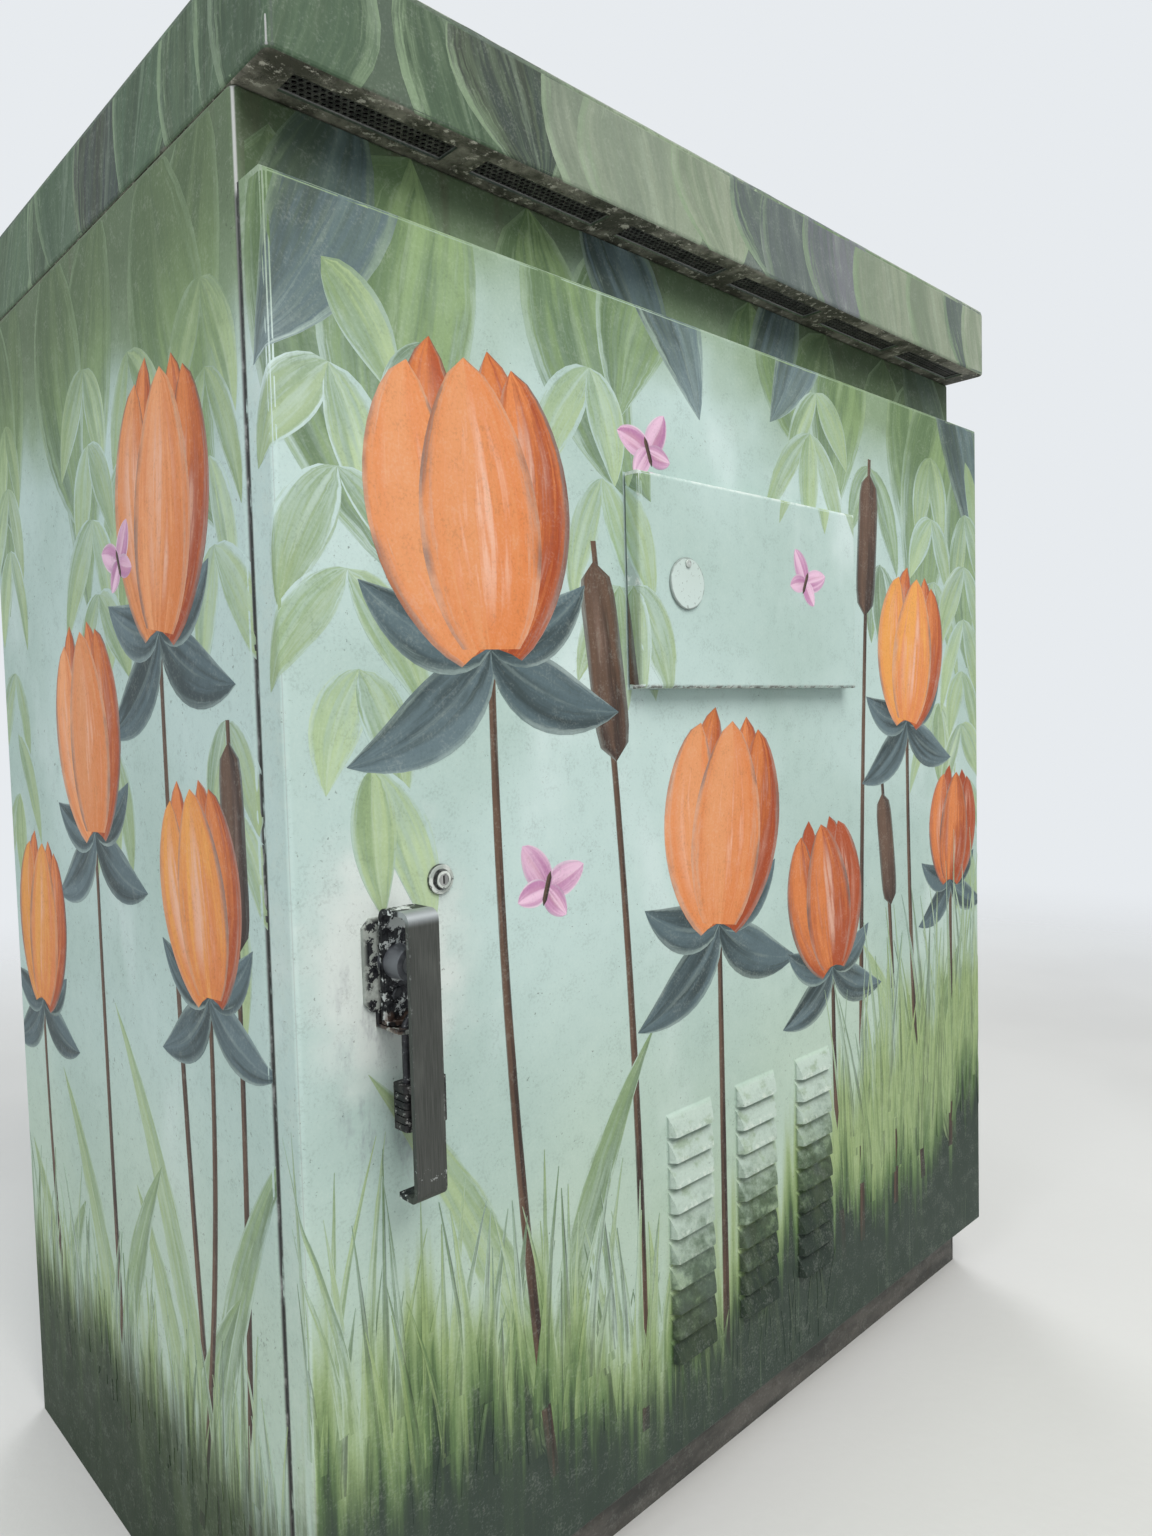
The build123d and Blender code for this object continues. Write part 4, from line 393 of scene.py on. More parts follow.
def painted_body_material():
    """Body: painted outside, bare inside and on the base strip below the door."""
    net = Net("painted_body")
    colour = ground_colour(net)
    # Painted shade under the roof: the header strip on the front darkened to deep olive, more at its ends and
    # on the side walls
    face = net.y.step(BODY_FRONT + 0.004, BODY_FRONT + 0.0005)
    colour = net.blend(net.z.step(1.25, 1.335) * face * 0.8, colour, OLIVE_DARK)
    colour = net.blend(overhang_shade(net), colour, OLIVE_DARK)
    drip = net.streaks((40, 40, 3), 3.0, 0.6)
    colour = net.blend(net.z.step(1.15, 1.32) * drip.step(0.5, 0.72) * 0.45, colour, GRIME)
    colour = net.blend(speckle(net, 210.0, 0.62, 0.68) * 0.5, colour, (58, 58, 50))
    # The front strip below the door is bare, and so is what the door covers
    front = net.y.step(BODY_FRONT + 0.0012, BODY_FRONT + 0.0006)
    base = front * net.z.step(DOOR_LOW[2] + 0.003, DOOR_LOW[2] - 0.001)
    smear = net.streaks((9, 9, 30), 4.0, 0.6)
    strip = net.blend(smear.step(0.36, 0.66), (70, 70, 67), (100, 97, 92))
    strip = net.blend(net.z.step(DOOR_LOW[2] - 0.016, DOOR_LOW[2] - 0.002), strip, (150, 147, 140))
    strip = net.blend(net.noise(34.0, 4.0, 0.7).step(0.55, 0.7) * 0.5, strip, (70, 66, 58))
    colour = net.blend(base, colour, strip)
    above = net.z.step(DOOR_LOW[2] - 0.001, DOOR_LOW[2] + 0.003)
    covered = front * above * net.z.step(DOOR_HIGH[2] - 0.002, DOOR_HIGH[2] - 0.006)
    metal = bare_metal(net)
    overspray = net.noise(9.0, 4.0, 0.7).step(0.45, 0.62)
    colour = net.blend(covered * (1.0 - overspray * 0.6), colour, metal)
    inside = abs(net.x).step(BODY_HIGH[0] - 0.001, BODY_HIGH[0] - 0.002)
    inside = inside & abs(net.y).step(BODY_HIGH[1] - 0.001, BODY_HIGH[1] - 0.002)
    inside = inside & net.z.step(BODY_HIGH[2] - 0.0008, BODY_HIGH[2] - 0.002)
    dust = (net.noise(6.0, 3.0) + net.z * -0.5).step(0.1, 0.6)
    inner = net.blend(dust * 0.35, metal, (126, 118, 104))
    colour = net.blend(inside, colour, inner)
    colour = net.blend(inside, mottled(net, colour), colour)
    # Dark residue and painted shade along the bend next to the door, in the gap behind it
    bend = net.y.step(BODY_FRONT + 0.005, BODY_FRONT + 0.0015) * net.z.step(DOOR_HIGH[2], DOOR_HIGH[2] - 0.01)
    bend = bend * abs(net.x).step(BODY_HIGH[0] - 0.012, BODY_HIGH[0] - 0.008)
    colour = net.blend(bend * net.noise(30.0, 4.0, 0.7).step(0.3, 0.5), colour, (34, 38, 36))
    rough = 0.52 + net.noise(18.0, 3.0) * 0.22
    metallic = (inside | base * 0.25 | covered * 0.6) * 0.75
    return net.finish(colour, rough, metallic, brushed_coat(net), PAINT_SHINE)


def painted_door_material():
    """Main door: painted outside, with daubed louvres, a rim of wear and bare metal inside."""
    net = Net("painted_door")
    colour = ground_colour(net)
    # Louvres are daubed pale at the top rows and green to slate lower down
    proud = net.y.step(DOOR_FACE - 0.0006, DOOR_FACE - 0.003)
    low_zone = net.z.step(0.47, 0.455)
    daub = net.streaks((46, 46, 60), 4.0, 0.65)
    line = net.z + (daub - 0.5) * 0.16 - net.x * 0.25
    pale = line.step(0.28, 0.38)
    hood = net.blend(pale, (84, 104, 80), (176, 192, 182))
    hood = net.blend(daub.step(0.5, 0.68) * 0.6, hood, (126, 146, 112))
    hood = net.blend(line.step(0.33, 0.24), hood, (30, 42, 34))
    colour = net.blend(proud * low_zone * 0.9, colour, hood)
    lip = net.y.step(DOOR_FACE - 0.0072, DOOR_FACE - 0.0092)
    chips = net.noise(170.0, 3.0, 0.7).step(0.5, 0.6)
    colour = net.blend(lip * low_zone * chips * pale * 0.45, colour, (214, 222, 212))
    # Pale, rubbed halo round the handle's plate and the lock
    dx = net.x - (PLATE_LOW[0] + PLATE_HIGH[0]) / 2
    dz = net.z - (PLATE_HIGH[2] - 0.035)
    reach = (dx * dx + dz * dz * 0.55).root()
    halo = (reach + (net.noise(30.0, 3.0) - 0.5) * 0.06).step(0.1, 0.038)
    colour = net.blend(halo * 0.85, colour, PAPER_WHITE)
    # Bluish-grey smudges beside the handle: scuffs, and a painted shadow of the handle and padlock
    scuff_and_shadow = abs(dx + 0.012).step(0.05, 0.018) * abs(dz + 0.1).step(0.13, 0.06)
    smudge_and_shadow = net.streaks((60, 60, 22), 4.0, 0.7).step(0.5, 0.7)
    colour = net.blend(scuff_and_shadow * smudge_and_shadow * 0.5, colour, (128, 130, 140))
    # Edges: paint rubbed pale, with dark residue and painted shade along the gap
    edge = net.rim(DOOR_LOW, DOOR_HIGH, 0.004)
    rub = net.noise(60.0, 4.0, 0.7).step(0.46, 0.62)
    colour = net.blend(edge * rub * 0.22, colour, (196, 208, 198))
    gap = net.y.step(DOOR_REAR - 0.0045, DOOR_REAR - 0.0015)
    colour = net.blend(gap * net.noise(26.0, 4.0, 0.7).step(0.28, 0.48), colour, (34, 37, 35))
    colour = net.blend(speckle(net, 240.0, 0.64, 0.69) * 0.55, colour, (66, 66, 58))
    inside = net.y.step(DOOR_FACE + 0.0012, DOOR_FACE + 0.0026)
    inside = inside & abs(net.x).step(DOOR_HIGH[0] - 0.0006, DOOR_HIGH[0] - 0.0016)
    inside = inside & net.z.inside(DOOR_LOW[2], DOOR_HIGH[2], 0.0006, 0.0016)
    colour = net.blend(inside, mottled(net, colour), bare_metal(net))
    thick = proud * low_zone * (daub * 0.6 + net.noise(150.0, 4.0, 0.7))
    rough = 0.5 + net.noise(20.0, 3.0) * 0.24
    normal = net.bump(thick, 0.0016, under=brushed_coat(net))
    return net.finish(colour, rough, inside * 0.75, normal, PAINT_SHINE)


def painted_police_material():
    """Small door: paler edges, side faces darkened as painted shade, dark worn specks along its bottom and
    bare inside.
    """
    net = Net("painted_small_door")
    colour = ground_colour(net)
    # Painted shade: the side faces in the gap round the small door are darker and greyer
    side = abs(net.x).step(POLICE_HIGH[0] - 0.0025, POLICE_HIGH[0] - 0.0004)
    colour = net.blend(side * 0.5, colour, (150, 165, 160))
    edge = net.rim(POLICE_LOW, POLICE_HIGH, 0.005)
    rub = net.noise(75.0, 4.0, 0.7).step(0.4, 0.58)
    colour = net.blend(edge * rub * 0.8, colour, (216, 223, 218))
    foot = net.z.step(POLICE_LOW[2] + 0.004, POLICE_LOW[2] + 0.0005)
    specks = net.noise(150.0, 4.0, 0.7).step(0.48, 0.56)
    colour = net.blend(foot * specks * 0.85, colour, (58, 56, 48))
    inside = net.y.step(POLICE_LOW[1] + 0.0012, POLICE_LOW[1] + 0.0022)
    inside = inside & abs(net.x).step(POLICE_HIGH[0] - 0.0006, POLICE_HIGH[0] - 0.0014)
    inside = inside & net.z.inside(POLICE_LOW[2], POLICE_HIGH[2], 0.0006, 0.0014)
    colour = net.blend(inside, mottled(net, colour), bare_metal(net))
    rough = 0.5 + net.noise(20.0, 3.0) * 0.24
    return net.finish(colour, rough, inside * 0.75, brushed_coat(net), PAINT_SHINE)


def painted_roof_material():
    """Roof: grey-green fields with pale streaks, speckled edges and a grimy underside."""
    net = Net("painted_roof")
    broad = net.streaks((3.4, 3.4, 5.0), 3.0, 0.5, (6, 1, 3))
    colour = net.blend(broad.step(0.42, 0.56), (100, 110, 104), (122, 138, 112))
    green = net.noise(2.0, 2.0, source=net.stretch((1, 1, 1), (4, 8, 1)))
    colour = net.blend(green.step(0.5, 0.66), colour, (98, 120, 88))
    stroke = net.streaks((60, 60, 9), 4.0, 0.65, (3, 3, 5))
    colour = net.blend(stroke.step(0.52, 0.72) * 0.35, colour, (160, 176, 150))
    colour = net.blend(net.x.step(-0.1, -0.42) * 0.75, colour, (54, 70, 60))
    top = net.blend(net.noise(5.0, 5.0, 0.65).step(0.36, 0.66), (150, 158, 148), (112, 118, 104))
    colour = net.blend(net.facing_up().step(0.3, 0.8), colour, top)
    edge = net.z.step(ROOF_HIGH[2] - 0.016, ROOF_HIGH[2] - 0.004)
    edge = edge | net.z.step(ROOF_LOW[2] + 0.01, ROOF_LOW[2] + 0.002)
    grain = net.noise(230.0, 4.0, 0.75).step(0.52, 0.6)
    colour = net.blend(edge * grain * 0.6, colour, (66, 70, 60))
    chips = net.x.step(0.28, 0.56) * net.noise(140.0, 3.0, 0.7).step(0.5, 0.58)
    colour = net.blend(chips * 0.55, colour, (146, 158, 142))
    colour = mottled(net, colour)
    soffit = net.facing_up().step(-0.35, -0.8)
    dirt = net.blend(net.noise(22.0, 5.0, 0.7).step(0.4, 0.64), (66, 66, 56), (132, 130, 118))
    dirt = net.blend(net.noise(120.0, 4.0, 0.7).step(0.56, 0.66), dirt, (180, 177, 165))
    colour = net.blend(soffit, colour, dirt)
    inside = net.z.step(ROOF_LOW[2] + 0.0014, ROOF_LOW[2] + 0.0026)
    inside = inside & net.z.step(ROOF_HIGH[2] - 0.0014, ROOF_HIGH[2] - 0.0024)
    inside = inside & abs(net.x).step(ROOF_HIGH[0] - 0.0012, ROOF_HIGH[0] - 0.0024)
    inside = inside & net.y.inside(ROOF_LOW[1], ROOF_HIGH[1], 0.0012, 0.0024)
    colour = net.blend(inside, colour, bare_metal(net))
    lumps = soffit * net.noise(90.0, 4.0, 0.7).step(0.5, 0.7)
    normal = net.bump(lumps, 0.0012, under=brushed_coat(net, 1.2))
    rough = 0.55 + net.noise(16.0, 3.0) * 0.25
    return net.finish(colour, rough, inside * 0.7, normal, PAINT_SHINE)


def painted_shape_material():
    """Brushed paint of the shapes: two tones, streaks along the stroke and broken rims."""
    net = Net("painted_shapes")
    tone = net.attribute("tone", "Color")
    shade = net.attribute("shade", "Color")
    along, across, seed = net.attribute("stroke", "Vector").parts()
    share, half_width, shine = net.attribute("form", "Vector").parts()
    place = net.join(along * 14.0, across * half_width * 170.0, seed * 37.0)
    hairs = net.noise(1.0, 4.0, 0.62, place, 0.35)
    broad = net.noise(1.0, 3.0, 0.5, net.stretch((0.40, 0.30, 1.0), (2, 5, 0), place), 0.6)
    wide = abs(across)
    hair = hairs - 0.5
    mixed = across.step(-0.16, 0.3) * 0.4 + (broad - 0.5) * 2.1 + hair * 1.2 + (0.42 - share) * 0.42
    colour = net.blend(mixed.step(-0.28, 0.62), tone, shade)
    # Petals and pods are rounded: darker towards their sides, with rubbed highlights
    rounded = shine.step(0.0, 0.5) * (wide + hair * 0.5).step(0.5, 1.0)
    colour = net.blend(rounded * 0.62, colour, shade)
    patch = (broad + hair * 0.5).step(0.47, 0.66)
    centre = wide.step(0.72, 0.15) * share.step(0.04, 0.3) * share.step(0.98, 0.62)
    colour = net.blend(patch * centre * shine * 0.62, colour, BLOOM)
    # Pale or dark line along the rim, and a pale rib
    ragged = net.noise(1.0, 3.0, 0.6, net.stretch((0.8, 0.05, 1.0), (7, 0, 3), place)).step(0.4, 0.6)
    rim = (wide + hair * 0.22).step(0.8, 0.98) * ragged
    rim_kind = net.attribute("tone", "Alpha")
    lighter = net.blend(1.0, tone, (104, 112, 102), "SCREEN")
    darker = net.blend(1.0, shade, (150, 120, 110), "MULTIPLY")
    rib = wide.step(0.13, 0.03) * hairs.step(0.42, 0.56)
    colour = net.blend((rim | rib * 0.6) * rim_kind.step(0.5, 1.0), colour, lighter)
    colour = net.blend(rim * rim_kind.step(0.5, 0.0), colour, darker)
    colour = net.blend(hairs.step(0.6, 0.73) * 0.32, colour, lighter)
    # The field below shows through at rough rims, and all over where the paint is thin
    thin = 1.0 - net.attribute("shade", "Alpha")
    soft_rim = (wide + hair * 0.9).step(0.72, 1.06) * (0.25 + thin * 1.1)
    worn = thin * (0.45 + hairs.step(0.38, 0.62) * 0.75)
    fade = net.math("ADD", soft_rim, worn, True)
    streaks = net.streaks((95, 95, 5.0), 3.0, 0.6, (4, 4, 9))
    colour = net.blend(foot_shade(net, streaks) * 0.9, colour, foot_colour(net))
    # Painted shade under the roof's overhang
    colour = net.blend(overhang_shade(net), colour, OLIVE_DARK)
    colour = mottled(net, net.blend(fade, colour, ground_colour(net)))
    relief = net.bump(hairs, 0.00025, under=brushed_coat(net, 0.7))
    rough = 0.5 + hairs * 0.22
    return net.finish(colour, rough, 0.0, relief, PAINT_SHINE)


def cover_material():
    """Painted keyhole disc with a dark line round its edge."""
    net = Net("painted_disc")
    colour = net.blend(0.35, ground_colour(net), PAPER_WHITE)
    dx, dz = net.off_centre(COVER_LOW, COVER_HIGH)
    reach = (dx * dx + dz * dz).root()
    ring = (reach + (net.noise(90.0) - 0.5) * 0.004).step(0.0242, 0.0254)
    colour = net.blend(ring * 0.6, colour, (70, 76, 70))
    chips = net.noise(240.0, 3.0, 0.7).step(0.62, 0.67) * 0.6
    colour = net.blend(chips, colour, (84, 88, 80))
    rough = 0.46 + net.noise(60.0) * 0.2
    return net.finish(colour, rough, 0.0, brushed_coat(net))


def handle_material():
    """Dark bare strap with upright brushing, a painted highlight on its top bend and pale nicks near its
    foot.
    """
    net = Net("worn_handle")
    brush = net.streaks((1500, 1500, 26), 4.0, 0.7)
    broad = net.streaks((46, 46, 16), 3.0, 0.6)
    colour = net.blend(brush.step(0.3, 0.72), (62, 64, 61), (86, 88, 84))
    colour = net.blend(broad.step(0.44, 0.7) * 0.3, colour, (104, 106, 101))
    # Painted highlight along the top bend
    top = net.z.step(HANDLE_HIGH[2] - 0.012, HANDLE_HIGH[2] - 0.003)
    colour = net.blend(top * 0.8, colour, (176, 182, 184))
    dx = net.x - (HANDLE_LOW[0] + HANDLE_HIGH[0]) / 2
    dz = net.z - SHAFT_HEIGHT
    nick = net.noise(150.0, 4.0, 0.75).step(0.58, 0.64)
    foot = abs(net.z - (HANDLE_LOW[2] + 0.022)).step(0.01, 0.002)
    colour = net.blend(nick * (abs(dx).step(0.0122, 0.0139) * 0.25 + foot * 0.8), colour, (188, 192, 190))
    # The inner leg is nearly black with pale chips, the hub on it smooth and grey
    inner = net.y.step(HANDLE_LOW[1] + 0.012, HANDLE_LOW[1] + 0.016)
    chip = net.noise(72.0, 5.0, 0.72)
    leg = net.blend(net.noise(190.0, 4.0, 0.7).step(0.4, 0.6), (26, 27, 31), (58, 60, 62))
    leg = net.blend(chip.step(0.53, 0.57), leg, (196, 202, 200))
    copper = net.z.step(PLATE_LOW[2] + 0.018, PLATE_LOW[2] + 0.01) * net.noise(80.0).step(0.44, 0.6)
    copper = copper * net.z.step(PLATE_LOW[2] - 0.05, PLATE_LOW[2] - 0.02)
    leg = net.blend(copper * 0.7, leg, (128, 104, 90))
    hub = (dx * dx + dz * dz).root().step(0.0142, 0.0136)
    smooth = net.blend(net.noise(50.0, 3.0).step(0.36, 0.64), (92, 95, 101), (118, 121, 126))
    leg = net.blend(hub, leg, smooth)
    colour = net.blend(inner, colour, leg)
    rough = 0.36 + broad * 0.24
    metallic = 0.72 - inner * chip.step(0.53, 0.57) * 0.6
    return net.finish(colour, rough, metallic, net.bump(brush, 0.00004))


def plate_material():
    """Base plate: chipped white paint over nearly black metal."""
    net = Net("chipped_plate")
    patch = net.noise(38.0, 5.0, 0.68)
    fine = net.noise(160.0, 4.0, 0.7)
    bare = (patch + (fine - 0.5) * 0.35).step(0.47, 0.5)
    bare = bare * (1.0 - net.rim(PLATE_LOW, PLATE_HIGH, 0.004) * 0.8)
    metal = net.blend(fine.step(0.4, 0.62), (24, 25, 30), (52, 53, 56))
    paint = net.blend(patch.step(0.3, 0.46), (196, 202, 196), (150, 156, 150))
    colour = net.blend(bare, paint, metal)
    copper = net.z.step(PLATE_LOW[2] + 0.01, PLATE_LOW[2] + 0.003) * fine.step(0.42, 0.56)
    colour = net.blend(copper * 0.5, colour, (120, 98, 84))
    relief = net.bump(1.0 - bare, 0.00035, under=net.bump(fine, 0.0002))
    return net.finish(colour, 0.36 + fine * 0.3, bare * 0.5, relief)


def lock_material():
    """Lock face: brushed with white paint, with dark rings where it is worn."""
    net = Net("painted_lock")
    dx, dz = net.off_centre(LOCK_LOW, LOCK_HIGH)
    reach = (dx * dx + dz * dz).root() + (net.noise(130.0) - 0.5) * 0.002
    paint = net.blend(net.noise(90.0, 3.0).step(0.4, 0.6), (206, 212, 206), (164, 172, 166))
    steel = net.blend(net.noise(200.0, 3.0).step(0.4, 0.6), (66, 68, 68), (112, 114, 112))
    ring = reach.step(0.0068, 0.0074) * reach.step(0.0092, 0.0084)
    worn = ring | reach.step(0.0122, 0.0128) | net.noise(150.0, 4.0, 0.7).step(0.6, 0.66)
    worn = worn | net.y.step(DOOR_FACE + 0.0005, DOOR_FACE + 0.0012)
    colour = net.blend(worn, paint, steel)
    relief = net.bump(1.0 - worn, 0.0002)
    return net.finish(colour, 0.36 + net.noise(70.0) * 0.2, worn * 0.8, relief)


def padlock_material(name, dark, brown, fleck):
    """Weathered, nearly black metal with pale flecks of paint."""
    net = Net(name)
    patch = net.noise(70.0, 4.0, 0.65)
    colour = net.blend(patch.step(0.4, 0.62), dark, brown)
    specks = net.noise(190.0, 4.0, 0.7).step(0.57, 0.64)
    colour = net.blend(specks * 0.8, colour, fleck)
    relief = net.bump(net.noise(260.0, 4.0, 0.7), 0.00022)
    return net.finish(colour, 0.34 + patch * 0.35, 0.55, relief)


def metal_material(name, low, high, roughness, sizes, metallic=0.9, spangle=False):
    """Plain metal with streaks, or with the spangle of hot-dip zinc."""
    net = Net(name)
    streak = net.streaks(sizes, 4.0, 0.6)
    colour = net.blend(streak.step(0.32, 0.68), low, high)
    if spangle:
        colour = net.blend(net.cells(75.0).step(0.15, 0.75) * 0.4, colour, high)
    dirt = net.noise(14.0, 5.0, 0.7).step(0.54, 0.72) * 0.35
    colour = net.blend(dirt, colour, (88, 82, 72))
    rough = roughness + (streak - 0.5) * 0.25
    return net.finish(colour, rough, metallic, net.bump(streak, 0.00008))


def moulded_material(name, low, high, roughness, grain=500.0):
    """Moulded plastic or rubber with a fine grain and dust in it."""
    net = Net(name)
    patch = net.noise(24.0, 4.0, 0.6)
    colour = net.blend(patch.step(0.35, 0.68), low, high)
    dust = net.noise(55.0, 4.0, 0.7).step(0.56, 0.72) * 0.25
    colour = net.blend(dust, colour, (150, 144, 130))
    relief = net.bump(net.noise(grain, 2.0), 0.00012)
    return net.finish(colour, roughness + (patch - 0.5) * 0.2, 0.0, relief)


def filter_material():
    """Fibrous, dusty filter paper."""
    net = Net("filter_paper")
    fibre = net.streaks((500, 90, 160), 4.0, 0.7)
    colour = net.blend(fibre.step(0.36, 0.64), (150, 144, 124), (190, 186, 168))
    dust = net.noise(12.0, 4.0).step(0.46, 0.68) * 0.5
    colour = net.blend(dust, colour, (110, 104, 90))
    return net.finish(colour, 0.92, 0.0, net.bump(fibre, 0.0003))


MATERIALS = {
    "body": painted_body_material(),
    "door": painted_door_material(),
    "police": painted_police_material(),
    "roof": painted_roof_material(),
    "shapes": painted_shape_material(),
    "cover": cover_material(),
    "handle": handle_material(),
    "plate": plate_material(),
    "lock": lock_material(),
    "shackle": padlock_material("worn_shackle", (34, 35, 38), (62, 62, 66), (186, 190, 188)),
    "padlock": padlock_material("worn_padlock", (30, 30, 32), (60, 58, 57), (184, 184, 180)),
    "rivet": padlock_material("painted_rivet", (196, 202, 198), (168, 176, 170), (90, 92, 88)),
    "aluminium": metal_material("mill_aluminium", (142, 144, 143), (178, 180, 178), 0.46, (60, 60, 9), 0.85),
    "zinc": metal_material("zinc_steel", (122, 126, 130), (168, 172, 176), 0.42, (90, 90, 90), 0.9, True),
    "stainless": metal_material("stainless", (128, 128, 126), (176, 176, 172), 0.30, (240, 240, 12), 0.95),
    "screen": metal_material("grimy_screen", (52, 52, 50), (84, 84, 80), 0.60, (90, 90, 90), 0.4),
    "brass": metal_material("dull_brass", (140, 112, 62), (182, 152, 92), 0.38, (160, 160, 160), 0.9),
    "rubber": moulded_material("foam_rubber", (22, 22, 22), (40, 40, 40), 0.85, 700.0),
    "black": moulded_material("black_plastic", (20, 20, 22), (36, 36, 38), 0.48),
    "white": moulded_material("white_plastic", (186, 186, 178), (208, 208, 202), 0.42),
    "grey": moulded_material("grey_plastic", (78, 80, 84), (102, 104, 108), 0.50),
    "nylon": moulded_material("nylon", (196, 194, 182), (214, 212, 202), 0.36),
    "filter": filter_material(),
}

NODE_MATERIALS = {
    "body": ("body_shell",),
    "door": ("door_panel",),
    "police": ("police_door",),
    "roof": ("roof_lid",),
    "cover": ("keyhole_cover",),
    "handle": ("handle",),
    "plate": ("handle_base_plate",),
    "lock": ("lock_case",),
    "shackle": ("padlock_shackle",),
    "padlock": ("padlock_body",),
    "rivet": ("cover_rivet",),
    "aluminium": ("opening_lip", "switch_box", "filter_retainer", "lower_shelf", "upper_shelf", "back_panel",
                  "plenum_tray"),
    "zinc": ("handle_shaft", "lock_bolt", "latch_bracket", "latch_cam", "upper_rod", "lower_rod",
             "stay_bracket", "stay_rod", "side_channels", "shelf_brackets", "panel_standoffs", "fan_guard"),
    "stainless": ("hinge_frame_leaf", "hinge_door_leaf", "hinge_pin", "hinge_screws",
                  "police_hinge_door_leaf", "police_hinge_fixed_leaf", "police_hinge_pin", "police_lock",
                  "police_lock_plug", "lock_plug", "signal_toggle", "flash_toggle"),
    "screen": ("vent_screens",),
    "brass": ("ground_bar", "shaft_bush"),
    "rubber": ("door_gasket", "police_gasket"),
    "black": ("switch_bodies", "terminal_strips", "breaker_block", "fan_housing", "fan_rotor"),
    "white": ("main_breaker_lever", "branch_breaker_lever", "cabinet_lamp"),
    "grey": ("rod_guides", "stay_clip"),
    "nylon": ("upper_roller", "lower_roller"),
    "filter": ("air_filter",),
}


def dress_nodes():
    """Gives every part of the frame its material."""
    for key, names in NODE_MATERIALS.items():
        for name in names:
            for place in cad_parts[name].material_slots:
                place.material = MATERIALS[key]


def add_object(name, data):
    """Puts a mesh, lamp or camera into the scene."""
    made = bpy.data.objects.new(name, data)
    bpy.context.scene.collection.objects.link(made)
    return made


# Surfaces that carry painted shapes

class Wall:
    """An upright surface with round edges: a front, a side beyond each bend, and a top and foot."""

    def __init__(self, front, left, bend, rear, foot=None, top=None, foot_bend=0.004, top_bend=0.004):
        self.front = front
        self.left = left
        self.bend = bend
        self.turn = left + bend
        self.arc = bend * math.pi / 2
        self.low = self.turn - self.arc - (rear - front - bend)
        self.foot = foot
        self.top = top
        self.foot_bend = foot_bend
        self.top_bend = top_bend
        self.cuts = [way * (self.turn - self.arc * step / BEND_STEPS)
                     for way in (1, -1) for step in range(BEND_STEPS + 1)]
        self.level_cuts = []
        for edge, round_edge, way in ((top, top_bend, 1), (foot, foot_bend, -1)):
            if edge is not None:
                self.level_cuts += [edge - way * round_edge * (1 - math.pi / 2 * step / BEND_STEPS)
                                    for step in range(BEND_STEPS)]

    def place(self, u, height):
        """Point and outward direction at u along the outline."""
        mirror = -1 if u > 0 else 1
        beyond = self.turn - u * mirror
        if beyond <= 0:
            point, out = Vector((u, self.front, height)), Vector((0, -1, 0))
        else:
            angle = min(beyond / self.bend, math.pi / 2)
            out = Vector((-math.sin(angle) * mirror, -math.cos(angle), 0))
            point = Vector((self.turn * mirror, self.front + self.bend, height)) + out * self.bend
            point.y += max(0.0, beyond - self.arc)
        for edge, bend, way in ((self.top, self.top_bend, 1), (self.foot, self.foot_bend, -1)):
            if edge is None or (height - edge) * way <= -bend:
                continue
            angle = min(((height - edge) * way + bend) / bend, math.pi / 2)
            centre = point - out * bend
            centre.z = edge - way * bend
            out = out * math.cos(angle) + Vector((0, 0, way * math.sin(angle)))
            point = centre + out * bend
        return point, out


def split_cell(cell, axis, value):
    """Cuts a flat polygon along a line u = value or z = value."""
    lower = []
    upper = []
    for first, second in zip(cell, cell[1:] + cell[:1]):
        gap_first = first[axis] - value
        gap_second = second[axis] - value
        if gap_first <= 1e-9:
            lower.append(first)
        if gap_first >= -1e-9:
            upper.append(first)
        if gap_first * gap_second < 0 and min(abs(gap_first), abs(gap_second)) > 1e-9:
            share = gap_first / (gap_first - gap_second)
            crossing = tuple(a + (b - a) * share for a, b in zip(first, second))
            lower.append(crossing)
            upper.append(crossing)
    return [part for part in (lower, upper) if len(part) > 2]


